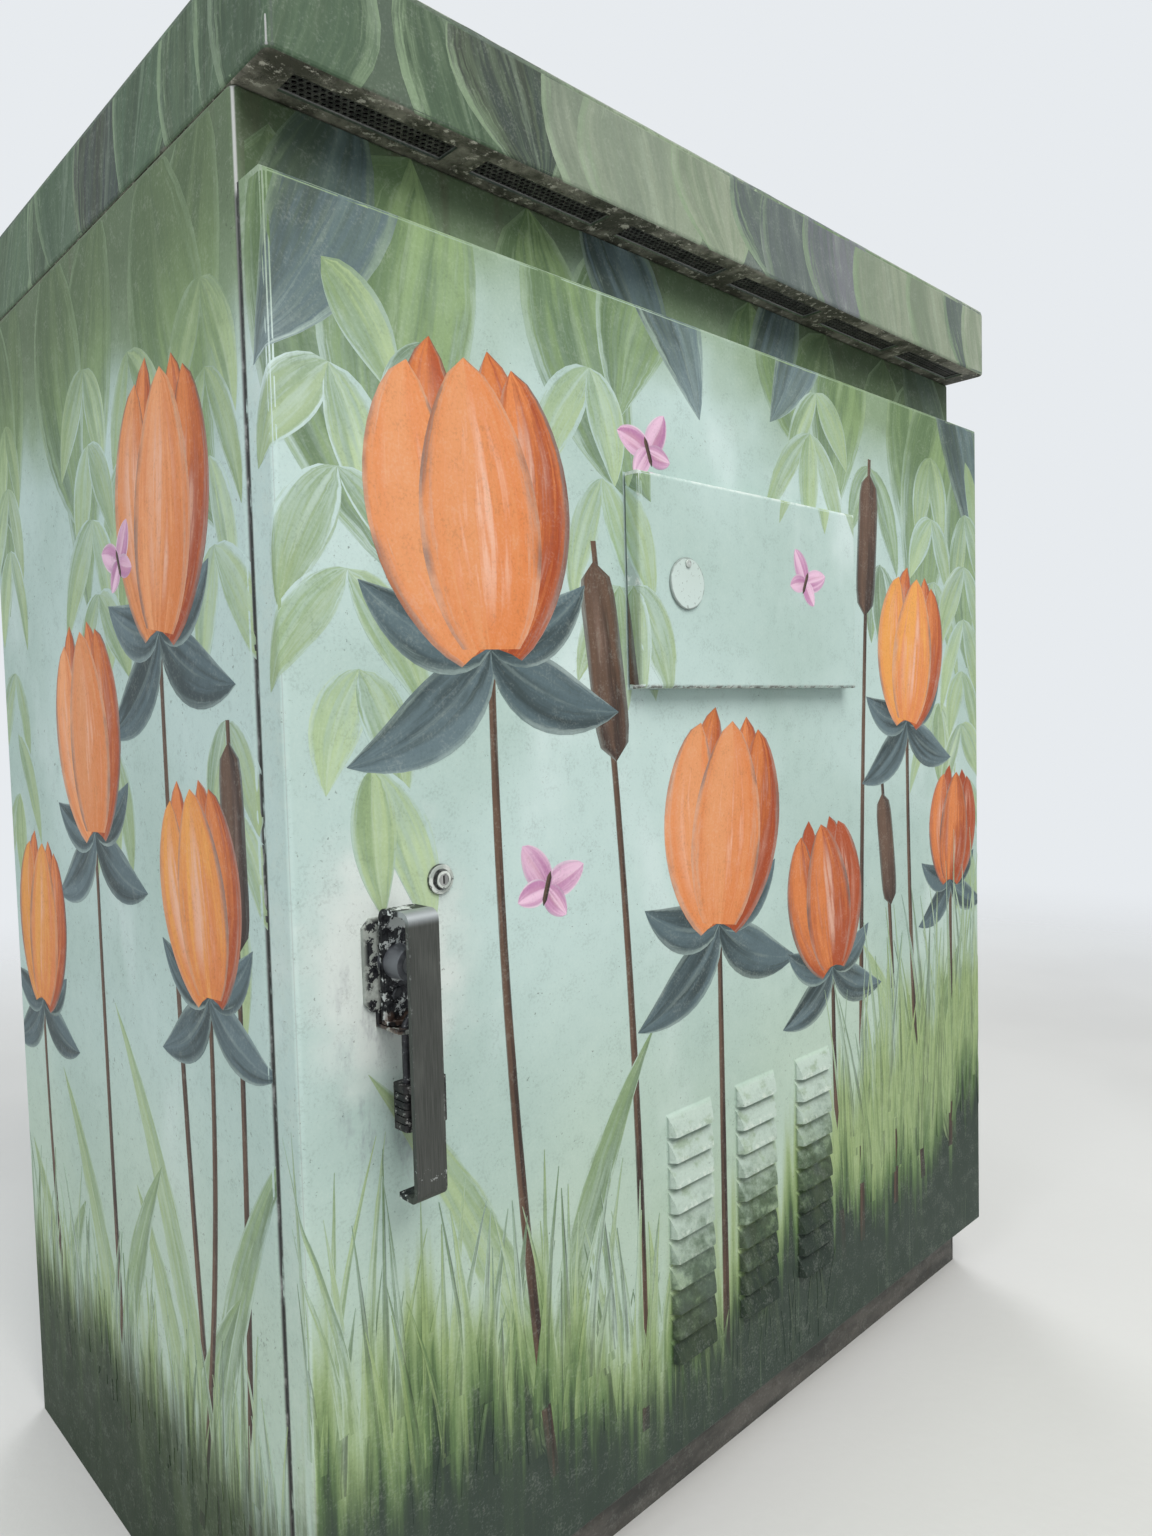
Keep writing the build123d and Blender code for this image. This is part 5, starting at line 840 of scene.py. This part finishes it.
class Coat:
    """Painted shapes on one wall, gathered into one thin closed mesh."""

    def __init__(self, name, body, wall, low, high, left=None, right=None, hole=None):
        self.name = name
        self.body = body
        self.wall = wall
        self.left = wall.low if left is None else left
        self.right = -wall.low if right is None else right
        self.low = low
        self.high = high
        self.hole = hole
        self.levels = {}
        self.points = []
        self.faces = []
        self.strokes = []
        self.forms = []
        self.tones = []
        self.shades = []

    def inside(self, cell):
        u = sum(p[0] for p in cell) / len(cell)
        z = sum(p[1] for p in cell) / len(cell)
        if not (self.left < u < self.right and self.low < z < self.high):
            return False
        if self.hole is None:
            return True
        return not (self.hole[0] < u < self.hole[2] and self.hole[1] < z < self.hole[3])

    def cut(self, cells):
        lines = [(0, self.left), (0, self.right), (1, self.low), (1, self.high)]
        lines += [(0, value) for value in self.wall.cuts]
        lines += [(1, value) for value in self.wall.level_cuts]
        if self.hole is not None:
            lines += [(0, self.hole[0]), (0, self.hole[2]), (1, self.hole[1]), (1, self.hole[3])]
        for axis, value in lines:
            cells = [part for cell in cells for part in split_cell(cell, axis, value)]
        return [cell for cell in cells if self.inside(cell)]

    def level(self, cells):
        """Free layer for a shape, above what lies below it where there is room."""
        squares = set()
        for cell in cells:
            us = [p[0] / PAINT_CELL for p in cell]
            zs = [p[1] / PAINT_CELL for p in cell]
            for i in range(math.floor(min(us)), math.floor(max(us)) + 1):
                for j in range(math.floor(min(zs)), math.floor(max(zs)) + 1):
                    squares.add((i, j))
        taken = set()
        for square in squares:
            taken |= self.levels.get(square, set())
        level = max(taken) + 1 if taken else 0
        if level >= PAINT_LAYERS:
            free = [i for i in range(PAINT_LAYERS) if i not in taken]
            level = free[-1] if free else PAINT_LAYERS
        for square in squares:
            self.levels.setdefault(square, set()).add(level)
        return level

    def add(self, rows, colours, seed, rim, cover, shine, width):
        """Adds one shape: rows of (u, z, along, across, share) points.

        rim is above 0.5 for a pale rim and below for a dark one. cover is 1 for full paint, or
        a pair for the start and the end of the shape.
        """
        cells = self.cut([[row[i], row[i + 1], following[i + 1], following[i]]
                          for row, following in zip(rows, rows[1:]) for i in range(len(row) - 1)])
        if not cells:
            return
        layer = self.level(cells)
        index = {}
        polygons = []
        for cell in cells:
            polygon = []
            for p in cell:
                key = (round(p[0], 6), round(p[1], 6))
                if key not in index:
                    index[key] = (len(index), p)
                if index[key][0] not in polygon:
                    polygon.append(index[key][0])
            if len(polygon) > 2:
                polygons.append(polygon)
        first, last = cover if isinstance(cover, tuple) else (cover, cover)
        look = (linear(colours[0], rim), linear(colours[1])[:3], first, last, seed, shine, width / 2)
        self.raise_shape([pair[1] for pair in index.values()], polygons, layer, look)

    def raise_shape(self, flat, polygons, layer, look):
        """Turns flat polygons into a thin closed body that stands in the metal's surface."""
        tone, shade, first, last, seed, shine, half_width = look
        area = 0.0
        for polygon in polygons:
            for a, b in zip(polygon, polygon[1:] + polygon[:1]):
                area += flat[a][0] * flat[b][1] - flat[b][0] * flat[a][1]
        if area < 0:
            polygons = [polygon[::-1] for polygon in polygons]
        start = len(self.points)
        count = len(flat)
        top = PAINT_TOP + layer * PAINT_LAYER
        for height in (top, -PAINT_ROOT):
            for u, z, along, across, share in flat:
                point, out = self.wall.place(u, z)
                self.points.append(point + out * height)
                self.strokes.append((along, across, seed))
                self.forms.append((share, half_width, shine))
                self.tones.append(tone)
                self.shades.append((*shade, first + (last - first) * share))
        edges = {}
        for polygon in polygons:
            self.faces.append([start + i for i in polygon])
            self.faces.append([start + count + i for i in reversed(polygon)])
            for a, b in zip(polygon, polygon[1:] + polygon[:1]):
                edges[(a, b)] = (b, a)
        for (a, b), opposite in edges.items():
            if opposite not in edges:
                self.faces.append([start + b, start + a, start + count + a, start + count + b])

    def build(self):
        mesh = bpy.data.meshes.new(self.name)
        mesh.from_pydata([tuple(p) for p in self.points], [], self.faces)
        for name, values in (("stroke", self.strokes), ("form", self.forms), ("tone", self.tones),
                             ("shade", self.shades)):
            kind, key = ("FLOAT_VECTOR", "vector") if len(values[0]) == 3 else ("FLOAT_COLOR", "color")
            layer = mesh.attributes.new(name, kind, "POINT")
            layer.data.foreach_set(key, [number for value in values for number in value])
        mesh.materials.append(MATERIALS["shapes"])
        piece = add_object(self.name, mesh)
        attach(piece, self.body)


# Shapes of the painted design

def curve_points(controls, count):
    """Points along a Bezier curve with any number of control points."""
    made = []
    for i in range(count):
        share = i / (count - 1)
        points = [Vector(c) for c in controls]
        while len(points) > 1:
            points = [a.lerp(b, share) for a, b in zip(points, points[1:])]
        made.append(points[0])
    return made


def ribbon(controls, width, profile, count=13, columns=(-1, -0.5, 0, 0.5, 1)):
    """Rows of points across a curve, as wide as the profile says from 0 to 1 along it."""
    line = curve_points(controls, count)
    rows = []
    travelled = 0.0
    for i, point in enumerate(line):
        ahead = line[min(i + 1, count - 1)] - line[max(i - 1, 0)]
        side = Vector((ahead.y, -ahead.x)).normalized()
        share = i / (count - 1)
        half = max(width / 2 * profile(share), 0.0003)
        if i:
            travelled += (point - line[i - 1]).length
        rows.append([(point.x + side.x * half * c, point.y + side.y * half * c, travelled, float(c), share)
                     for c in columns])
    return rows


def leaf_profile(share):
    return math.sin(math.pi * share ** 0.78) ** 0.85


def petal_profile(share):
    return math.sin(math.pi * min(share ** 0.92 * 0.90 + 0.10, 1.0)) ** 0.62


def blade_profile(share):
    return (1 - share) ** 0.8


def even_profile(share):
    return 1.0 - 0.35 * share


def pod_profile(share):
    return max(0.0, 1 - (2 * share - 1) ** 6) ** 0.5


def toned(colour, amount, dice):
    """A colour made a little lighter or darker at random."""
    shift = dice.uniform(-amount, amount)
    return tuple(min(255, max(0, value + shift)) for value in colour)


def toned_pair(colours, amount, dice):
    """The light and the dark colour of one shape."""
    return [toned(colour, amount, dice) for colour in colours]


def add_shape(coats, rows, colours, seed, rim, cover, shine, width):
    for coat in coats:
        coat.add(rows, colours, seed, rim, cover, shine, width)


def add_leaf(coats, base, tip, width, bend, colours, dice, rim, cover, profile=leaf_profile, shine=0.0):
    """One leaf from base to tip, bent sideways by a share of its length."""
    base = Vector(base)
    tip = Vector(tip)
    line = tip - base
    middle = base.lerp(tip, 0.5) + Vector((line.y, -line.x)) * bend
    colours = toned_pair(colours, 8, dice)
    rows = ribbon((base, middle, tip), width, profile)
    add_shape(coats, rows, colours, dice.random(), rim, cover, shine, width)


def hang_leaves(coats, places, bend, colours, dice, rim, cover):
    """Broad leaves that hang from x and z, each with its length, width and slant."""
    for x, z, length, width, slant in places:
        add_leaf(coats, (x, z), (x + slant * length, z - length), width, bend, colours, dice, rim, cover)


def add_stem(coats, controls, width, dice):
    rows = ribbon(controls, width, even_profile, 19, (-1, 0, 1))
    add_shape(coats, rows, (BROWN_LIGHT, BROWN), dice.random(), 0.5, 1.0, 0.0, width)


def add_tulip(coats, centre, height, lean, foot, dice, petal_colours, leaves=True):
    """A tulip head on a long stem, with long leaves and a collar of dark ones."""
    x, z = centre
    half = height / 2
    width = height * 0.46
    base = (x - lean * half, z - half)
    crown = (x + lean * half, z + half)
    bend_x = (base[0] + foot[0]) / 2 + (base[0] - foot[0]) * 0.55
    stem_length = base[1] - foot[1]
    if leaves and stem_length > 0.2:
        for side, low, reach, wide, spread in ((-1, 0.0, 0.56, 0.050, 0.24), (1, 0.05, 0.46, 0.044, 0.20)):
            start = (foot[0] + (bend_x - foot[0]) * low, foot[1] + stem_length * low)
            end = (start[0] + side * stem_length * spread, start[1] + stem_length * reach)
            colours = (LEAF_LIGHT, LEAF) if side < 0 else (LEAF, LEAF_DARK)
            add_leaf(coats, start, end, wide, -0.14 * side, colours, dice, 0.85, (0.30, 0.82))
    add_stem(coats, (foot, (bend_x, (foot[1] + base[1]) / 2), base), 0.012, dice)
    for side, drop, reach, wide in ((-1, 0.34, 0.56, 0.25), (1, 0.22, 0.60, 0.25), (-1, -0.16, 0.50, 0.22),
                                    (1, -0.24, 0.44, 0.20)):
        end = (base[0] + side * height * reach, base[1] - height * (drop + dice.uniform(-0.05, 0.05)))
        add_leaf(coats, base, end, height * wide, 0.20 * side, (TEAL_LIGHT, TEAL), dice, 0.78, 0.97)
    along = Vector((crown[0] - base[0], crown[1] - base[1]))
    side = Vector((along.y, -along.x)).normalized()
    light, middle, deep = petal_colours
    petals = (
        (-0.24, 0.98, 0.74, -0.16, (middle, deep)),
        (0.24, 0.96, 0.74, 0.16, (middle, deep)),
        (-0.44, 0.90, 0.84, -0.22, (light, middle)),
        (0.44, 0.91, 0.84, 0.22, (middle, deep)),
        (0.03, 0.93, 1.10, 0.03, (light, middle)),
    )
    for offset, reach, share, bend, colours in petals:
        start = Vector(base) + side * (width * offset * 0.24)
        end = Vector(base) + along * reach + side * (width * offset * 1.05)
        swing = side * (width * bend * 2.0)
        rows = ribbon((start, start.lerp(end, 0.5) + swing, end), width * share, petal_profile, 19,
                      (-1, -0.66, -0.33, 0, 0.33, 0.66, 1))
        colours = toned_pair(colours, 8, dice)
        add_shape(coats, rows, colours, dice.random(), 0.12, 1.0, 0.95, width * share)


def add_cattail(coats, foot, top, sway, head, dice):
    """A brown seed head on a stalk."""
    middle = ((foot[0] + top[0]) / 2 + sway, (foot[1] + top[1]) / 2)
    add_stem(coats, (foot, middle, top), 0.011, dice)
    lean = (middle[0] - top[0]) / (top[1] - middle[1])
    low = (top[0] + lean * head * 1.10, top[1] - head * 1.10)
    centre = (top[0] + lean * head * 0.6, top[1] - head * 0.6)
    rows = ribbon((low, centre, (top[0], top[1] - head * 0.10)), head * 0.25, pod_profile, 13)
    add_shape(coats, rows, (BROWN_LIGHT, BROWN), dice.random(), 0.3, 1.0, 0.25, head * 0.25)


def add_butterfly(coats, centre, size, turn, dice):
    """Four rounded wings and a dark body."""
    centre = Vector(centre)
    for angle, reach, width in ((38, 1.0, 0.62), (142, 1.0, 0.62), (-32, 0.72, 0.50), (-148, 0.72, 0.50)):
        way = math.radians(angle + turn)
        tip = centre + Vector((math.cos(way), math.sin(way))) * size * reach
        add_leaf(coats, centre, tip, size * width, 0.05, (PINK, PINK_DEEP), dice, 0.9, 1.0,
                 petal_profile, 0.3)
    way = math.radians(90 + turn)
    arm = Vector((math.cos(way), math.sin(way))) * size * 0.32
    rows = ribbon((centre - arm, centre, centre + arm), size * 0.12, pod_profile, 7, (-1, 0, 1))
    add_shape(coats, rows, (BROWN_LIGHT, BROWN), 0.5, 0.5, 1.0, 0.0, size * 0.12)


def add_strand(coats, top, length, sway, dice, cover, colours):
    """A hanging strand with broad, soft leaves on both sides."""
    end = (top[0] + sway, top[1] - length)
    middle = (top[0] + sway * 0.1, top[1] - length * 0.5)
    line = curve_points((top, middle, end), max(3, int(length / LEAF_SPACING)))
    for point in line[1:]:
        for side in (-1, 1):
            if dice.random() < 0.16:
                continue
            reach = dice.uniform(0.10, 0.16)
            drop = math.radians(dice.uniform(50, 78))
            tip = (point.x + side * math.cos(drop) * reach, point.y - math.sin(drop) * reach)
            pair = toned_pair(colours, 12, dice)
            add_leaf(coats, point, tip, dice.uniform(0.034, 0.052), -0.14 * side, pair, dice,
                     dice.uniform(0.6, 0.95), (cover * 0.55, cover))
    add_leaf(coats, line[-1], (end[0] + sway * 0.2, end[1] - 0.12), 0.042, 0.05, colours, dice, 0.85, cover)


def grass_line(x):
    """Height that the grass reaches on the door."""
    return 0.37 + 0.36 * abs(x - GRASS_DIP)


def add_grass(coats, left, right, count, rise, dice):
    """Soft upright strokes that lean a little and thin out towards their tips."""
    for i in range(count):
        x = left + (right - left) * (i + dice.random()) / count
        height = rise(x) * dice.uniform(0.55, 1.0)
        lean = dice.uniform(-0.14, 0.14) * height
        foot = rise(x) * dice.uniform(0.40, 0.62)
        controls = ((x, foot), (x + lean * 0.15, foot + height * 0.24), (x + lean, foot + height * 0.52))
        share = dice.random()
        colours = (GRASS_TIP, GRASS_MIDDLE) if share < 0.55 else (GRASS_MIDDLE, GRASS_FOOT)
        wide = dice.uniform(0.007, 0.019)
        rows = ribbon(controls, wide, blade_profile, 9, (-1, 0, 1))
        colours = toned_pair(colours, 10, dice)
        seed = dice.random()
        add_shape(coats, rows, colours, seed, 0.5, (0.1, dice.uniform(0.40, 0.85)), 0.0, wide)


def paint_front():
    """Design on the main door, the small door and the header above them. Returns the body's coat."""
    door_wall = Wall(DOOR_FACE, DOOR_LOW[0], DOOR_BEND, DOOR_REAR, DOOR_LOW[2], DOOR_HIGH[2],
                     DOOR_BEND, DOOR_BEND)
    police_wall = Wall(POLICE_LOW[1], POLICE_LOW[0], POLICE_BEND, POLICE_HIGH[1], POLICE_LOW[2],
                       POLICE_HIGH[2], POLICE_BEND, POLICE_BEND)
    body_wall = Wall(BODY_FRONT, BODY_LOW[0], BODY_BEND, -BODY_FRONT - BODY_BEND)
    margin = 0.001
    hinge = 0.008
    hole = (POLICE_LOW[0] - margin, POLICE_LOW[2] - margin, POLICE_HIGH[0] + hinge, POLICE_HIGH[2] + margin)
    door = Coat("painted_shapes_door", "door", door_wall, DOOR_LOW[2] - DOOR_BEND / 2,
                DOOR_HIGH[2] + DOOR_BEND / 2, hole=hole)
    police = Coat("painted_shapes_small_door", "small_door", police_wall,
                  POLICE_LOW[2] - POLICE_BEND / 2, POLICE_HIGH[2] + POLICE_BEND / 2)
    body = Coat("painted_shapes_body", "cabinet", body_wall, 0.004, BODY_HIGH[2] - 0.006,
                right=-BODY_LOW[0] - 0.02)
    header = Coat("painted_shapes_header", "cabinet", body_wall, DOOR_HIGH[2] + 0.002,
                  BODY_HIGH[2] - 0.002, left=BODY_LOW[0] + 0.009, right=BODY_HIGH[0] - 0.009)
    front = (door, police, header)
    dice = random.Random(4127)
    # Broad, soft leaf fields near the top
    hang_leaves(front, (
        (-0.53, 1.31, 0.36, 0.15, 0.30), (-0.40, 1.33, 0.34, 0.15, -0.15), (-0.27, 1.33, 0.27, 0.13, 0.35),
        (-0.12, 1.33, 0.19, 0.11, -0.4), (0.07, 1.33, 0.18, 0.11, 0.3), (0.23, 1.33, 0.24, 0.12, -0.2),
        (0.37, 1.33, 0.33, 0.14, 0.2), (0.49, 1.33, 0.40, 0.15, -0.25), (0.56, 1.25, 0.34, 0.12, -0.1),
    ), 0.14, (LEAF, LEAF_DARK), dice, 0.8, (0.92, 0.72))
    hang_leaves(front, (
        (-0.46, 1.36, 0.24, 0.10, -0.5), (-0.20, 1.37, 0.21, 0.10, 0.6), (0.15, 1.38, 0.20, 0.09, -0.5),
        (0.43, 1.37, 0.30, 0.11, 0.4),
    ), -0.12, (TEAL_LIGHT, TEAL), dice, 0.75, (0.95, 0.75))
    pairs = ((LEAF_LIGHT, LEAF), (LEAF, LEAF_DARK), (LEAF_LIGHT, LEAF))
    strands = ((-0.515, 0.46, 0.03), (-0.425, 0.24, 0.03), (-0.24, 0.30, 0.04), (0.15, 0.10, -0.02),
               (0.255, 0.24, 0.03), (0.42, 0.42, 0.02), (0.525, 0.60, -0.03))
    for i, (x, length, sway) in enumerate(strands):
        add_strand(front, (x, 1.28), length, sway, dice, dice.uniform(0.66, 0.92), pairs[i % 3])
    # Cattails, tulips and butterflies
    for foot, top, sway, head in (((-0.19, 0.13), (-0.235, 1.02), 0.03, 0.19),
                                  ((0.225, 0.17), (0.262, 1.17), -0.02, 0.18),
                                  ((0.31, 0.19), (0.285, 0.76), 0.02, 0.15)):
        add_cattail(front, foot, top, sway, head, dice)
    for centre, height, lean, foot, petals, leaves in (
            ((-0.375, 1.045), 0.260, -0.10, (-0.315, 0.15), PALE_PETALS, True),
            ((0.365, 0.940), 0.205, 0.14, (0.385, 0.20), AMBER_PETALS, True),
            ((-0.043, 0.745), 0.235, 0.12, (-0.057, 0.12), PALE_PETALS, False),
            ((0.150, 0.635), 0.190, -0.14, (0.182, 0.16), DEEP_PETALS, False),
            ((0.480, 0.690), 0.165, 0.12, (0.465, 0.22), DEEP_PETALS, True)):
        add_tulip(front, centre, height, lean, foot, dice, petals, leaves)
    for centre, size, turn in (((-0.155, 1.115), 0.046, 20), ((-0.305, 0.700), 0.050, -18),
                               ((0.085, 1.000), 0.042, -24)):
        add_butterfly(front, centre, size, turn, dice)
    add_grass((door,), -0.56, -0.165, 80, grass_line, dice)
    add_grass((door,), -0.15, 0.16, 36, lambda x: 0.20, dice)
    add_grass((door,), 0.165, 0.56, 90, grass_line, dice)
    for coat in front:
        coat.build()
    return body


def paint_left(body):
    """Design on the left wall, which goes on from the door."""
    dice = random.Random(977)
    corner = BODY_LOW[0] - 0.012
    walls = (body,)
    hang_leaves(walls, [(corner + offset, *rest) for offset, *rest in (
        (-0.03, 1.35, 0.40, 0.14, -0.2), (-0.14, 1.35, 0.34, 0.15, 0.3), (-0.26, 1.35, 0.38, 0.14, -0.2),
        (-0.40, 1.35, 0.30, 0.14, 0.2), (-0.53, 1.35, 0.36, 0.14, -0.2), (-0.61, 1.35, 0.28, 0.12, 0.2),
    )], 0.14, (LEAF, LEAF_DARK), dice, 0.8, (0.92, 0.72))
    for offset, length, sway in ((-0.05, 0.56, 0.02), (-0.20, 0.26, -0.03), (-0.32, 0.44, 0.03),
                                 (-0.58, 0.50, -0.02)):
        add_strand(walls, (corner + offset, 1.28), length, sway, dice, 0.85, (LEAF_LIGHT, LEAF))
    add_cattail(walls, (corner - 0.060, 0.12), (corner - 0.035, 0.86), 0.02, 0.17, dice)
    for offset, middle, height, lean, foot, petals in ((0.150, 1.060, 0.240, 0.10, 0.12, PALE_PETALS),
                                                       (0.105, 0.720, 0.190, -0.14, 0.16, AMBER_PETALS),
                                                       (0.360, 0.860, 0.220, -0.10, 0.34, PALE_PETALS),
                                                       (0.540, 0.640, 0.200, 0.12, 0.52, AMBER_PETALS)):
        add_tulip(walls, (corner - offset, middle), height, lean, (corner - foot, 0.12), dice, petals)
    add_butterfly(walls, (corner - 0.250, 1.010), 0.045, 20, dice)
    add_grass(walls, corner - 0.65, corner, 110, lambda x: 0.33, dice)
    body.build()


def paint_roof():
    """Broad leaf shapes with thin pale lines on the roof's front and side."""
    wall = Wall(ROOF_LOW[1], ROOF_LOW[0], BODY_BEND, -BODY_FRONT - BODY_BEND, ROOF_LOW[2], ROOF_HIGH[2],
                0.004, 0.010)
    coat = Coat("painted_shapes_roof", "cabinet", wall, ROOF_LOW[2] + 0.0005, ROOF_HIGH[2] + 0.004)
    dice = random.Random(2211)
    palette = (((122, 142, 108), (92, 112, 82)), ((92, 102, 96), (66, 78, 74)),
               ((138, 154, 122), (106, 126, 92)), ((76, 94, 78), (56, 72, 62)),
               ((124, 142, 108), (94, 114, 82)))
    u = wall.low - 0.02
    while u < -wall.low:
        span = dice.uniform(0.10, 0.22)
        slant = dice.uniform(0.03, 0.12) * (1 if u > -0.5 else -1)
        shift = (-66, -62, -48) if u < -0.27 else (18, 8, 24)
        colours = [tuple(max(value + more, 30) for value, more in zip(pair, shift))
                   for pair in palette[dice.randrange(len(palette))]]
        base = (u, ROOF_HIGH[2] + 0.05)
        tip = (u + slant, ROOF_LOW[2] - dice.uniform(0.01, 0.09))
        bend = dice.uniform(-0.12, 0.12)
        add_leaf((coat,), base, tip, span, bend, colours, dice, 0.8, dice.uniform(0.7, 0.9))
        u += span * dice.uniform(0.46, 0.70)
    coat.build()


# Vent screens

def vent_screen_mesh():
    """Thin perforated strips with staggered round holes, in the places of the plain ones."""
    pitch = 0.0062
    radius = 0.0023
    corners = 6
    reach = pitch / math.sqrt(3)
    vertices = []
    faces = []
    index = {}

    def point(x, y, z):
        key = (round(x, 6), round(y, 6), round(z, 6))
        if key not in index:
            index[key] = len(vertices)
            vertices.append((x, y, z))
        return index[key]

    count = 6
    gap = 0.021
    length = (SCREEN_HIGH[0] - SCREEN_LOW[0] + gap) / count - gap
    step = (SCREEN_HIGH[0] - SCREEN_LOW[0] - length) / (count - 1)
    row_step = pitch * math.sqrt(3) / 2
    rows = int((SCREEN_HIGH[1] - SCREEN_LOW[1]) / row_step)
    for strip in range(count):
        x0 = SCREEN_LOW[0] + strip * step
        for row in range(rows):
            y = SCREEN_LOW[1] + (row + 0.5) * row_step
            shift = pitch / 2 if row % 2 else 0.0
            for column in range(int((length - pitch / 2) / pitch)):
                x = x0 + pitch * (column + 0.5) + shift
                rings = []
                for z in (SCREEN_LOW[2], SCREEN_HIGH[2]):
                    outer = []
                    inner = []
                    for corner in range(corners):
                        angle = math.radians(60 * corner + 30)
                        outer.append(point(x + math.cos(angle) * reach, y + math.sin(angle) * reach, z))
                        inner.append(point(x + math.cos(angle) * radius, y + math.sin(angle) * radius, z))
                    rings.append((outer, inner))
                for corner in range(corners):
                    after = (corner + 1) % corners
                    (low_out, low_in), (high_out, high_in) = rings
                    faces.append((high_out[corner], high_out[after], high_in[after], high_in[corner]))
                    faces.append((low_out[after], low_out[corner], low_in[corner], low_in[after]))
                    faces.append((low_in[after], low_in[corner], high_in[corner], high_in[after]))
    used = dict.fromkeys((a, b) for face in faces for a, b in zip(face, face[1:] + face[:1]))
    top = {index[key] for key in index if abs(key[2] - SCREEN_HIGH[2]) < 1e-5}
    below = {number: index[(*key[:2], round(SCREEN_LOW[2], 6))] for key, number in index.items()
             if number in top}
    walls = [(b, a, below[a], below[b]) for a, b in used if a in top and b in top and (b, a) not in used]
    mesh = bpy.data.meshes.new("perforated_screens")
    mesh.from_pydata(vertices, [], faces + walls)
    return mesh


def build_screens():
    mesh = vent_screen_mesh()
    mesh.materials.append(MATERIALS["screen"])
    piece = add_object("perforated_screens", mesh)
    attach(piece, "cabinet")
    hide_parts("vent_screens")


# Scene

def build_camera():
    data = bpy.data.cameras.new("camera")
    data.lens = CAMERA_LENS
    data.sensor_width = 36.0
    data.sensor_fit = "AUTO"
    data.clip_start = 0.02
    camera = add_object("camera", data)
    pose = Matrix.Translation(CAMERA_PLACE)
    # The last turn lifts Blender's downward view to the horizon
    for angle, axis in ((CAMERA_YAW, "Z"), (CAMERA_PITCH, "X"), (CAMERA_ROLL, "Y"), (math.pi / 2, "X")):
        pose = pose @ Matrix.Rotation(angle, 4, axis)
    camera.matrix_world = pose
    bpy.context.scene.camera = camera


def build_floor():
    """Plain pale floor disc that fades out before its edge."""
    radius = 6.0
    count = 96
    ring = [(radius * math.cos(2 * math.pi * i / count), radius * math.sin(2 * math.pi * i / count), -0.0002)
            for i in range(count)]
    mesh = bpy.data.meshes.new("floor")
    mesh.from_pydata(ring, [], [tuple(range(count))])
    net = Net("pale_floor")
    colour = net.blend(net.noise(1.2, 3.0).step(0.3, 0.7), (204, 204, 202), (212, 212, 210))
    net.feed(net.shader.inputs["Alpha"], (net.x * net.x + net.y * net.y).root().step(4.2, 1.5))
    mesh.materials.append(net.finish(colour, 0.85, 0.0, net.bump(net.noise(60.0, 3.0), 0.0006)))
    add_object("floor", mesh)


def add_lamp(name, place, aim, size, power, colour):
    data = bpy.data.lights.new(name, "AREA")
    data.shape = "DISK"
    data.size = size
    data.energy = power
    data.color = colour
    lamp = add_object(name, data)
    lamp.location = place
    lamp.rotation_euler = (Vector(aim) - Vector(place)).to_track_quat("-Z", "Y").to_euler()


def build_light():
    """Soft sky that looks plain and pale to the camera and in reflections, and three broad lamps."""
    world = bpy.data.worlds.new("soft_sky")
    bpy.context.scene.world = world
    world.use_nodes = True
    tree = world.node_tree
    tree.nodes.clear()
    rays = tree.nodes.new("ShaderNodeLightPath")
    seen = rays.outputs["Is Camera Ray"]
    for kind in ("Is Glossy Ray", "Is Transmission Ray"):
        either = tree.nodes.new("ShaderNodeMath")
        either.operation = "MAXIMUM"
        tree.links.new(seen, either.inputs[0])
        tree.links.new(rays.outputs[kind], either.inputs[1])
        seen = either.outputs[0]
    mix = tree.nodes.new("ShaderNodeMixShader")
    tree.links.new(seen, mix.inputs[0])
    for slot, colour, strength in ((1, (0.93, 0.97, 1.0, 1.0), 0.42), (2, (0.80, 0.83, 0.86, 1.0), 1.0)):
        sky = tree.nodes.new("ShaderNodeBackground")
        sky.inputs[0].default_value = colour
        sky.inputs[1].default_value = strength
        tree.links.new(sky.outputs[0], mix.inputs[slot])
    output = tree.nodes.new("ShaderNodeOutputWorld")
    tree.links.new(mix.outputs[0], output.inputs[0])
    add_lamp("key", (-0.7, -3.4, 4.4), (0.0, -0.3, 0.75), 3.6, 225.0, (1.0, 0.98, 0.95))
    add_lamp("fill", (-4.0, -0.2, 3.4), (-0.5, 0.0, 0.7), 3.0, 75.0, (0.95, 0.98, 1.0))
    add_lamp("back", (2.6, 3.4, 3.2), (0.0, 0.2, 0.8), 2.8, 90.0, (0.97, 0.98, 1.0))


dress_nodes()
build_camera()
build_floor()
build_light()
build_screens()
left_coat = paint_front()
paint_left(left_coat)
paint_roof()
bpy.context.scene.view_settings.view_transform = "Standard"
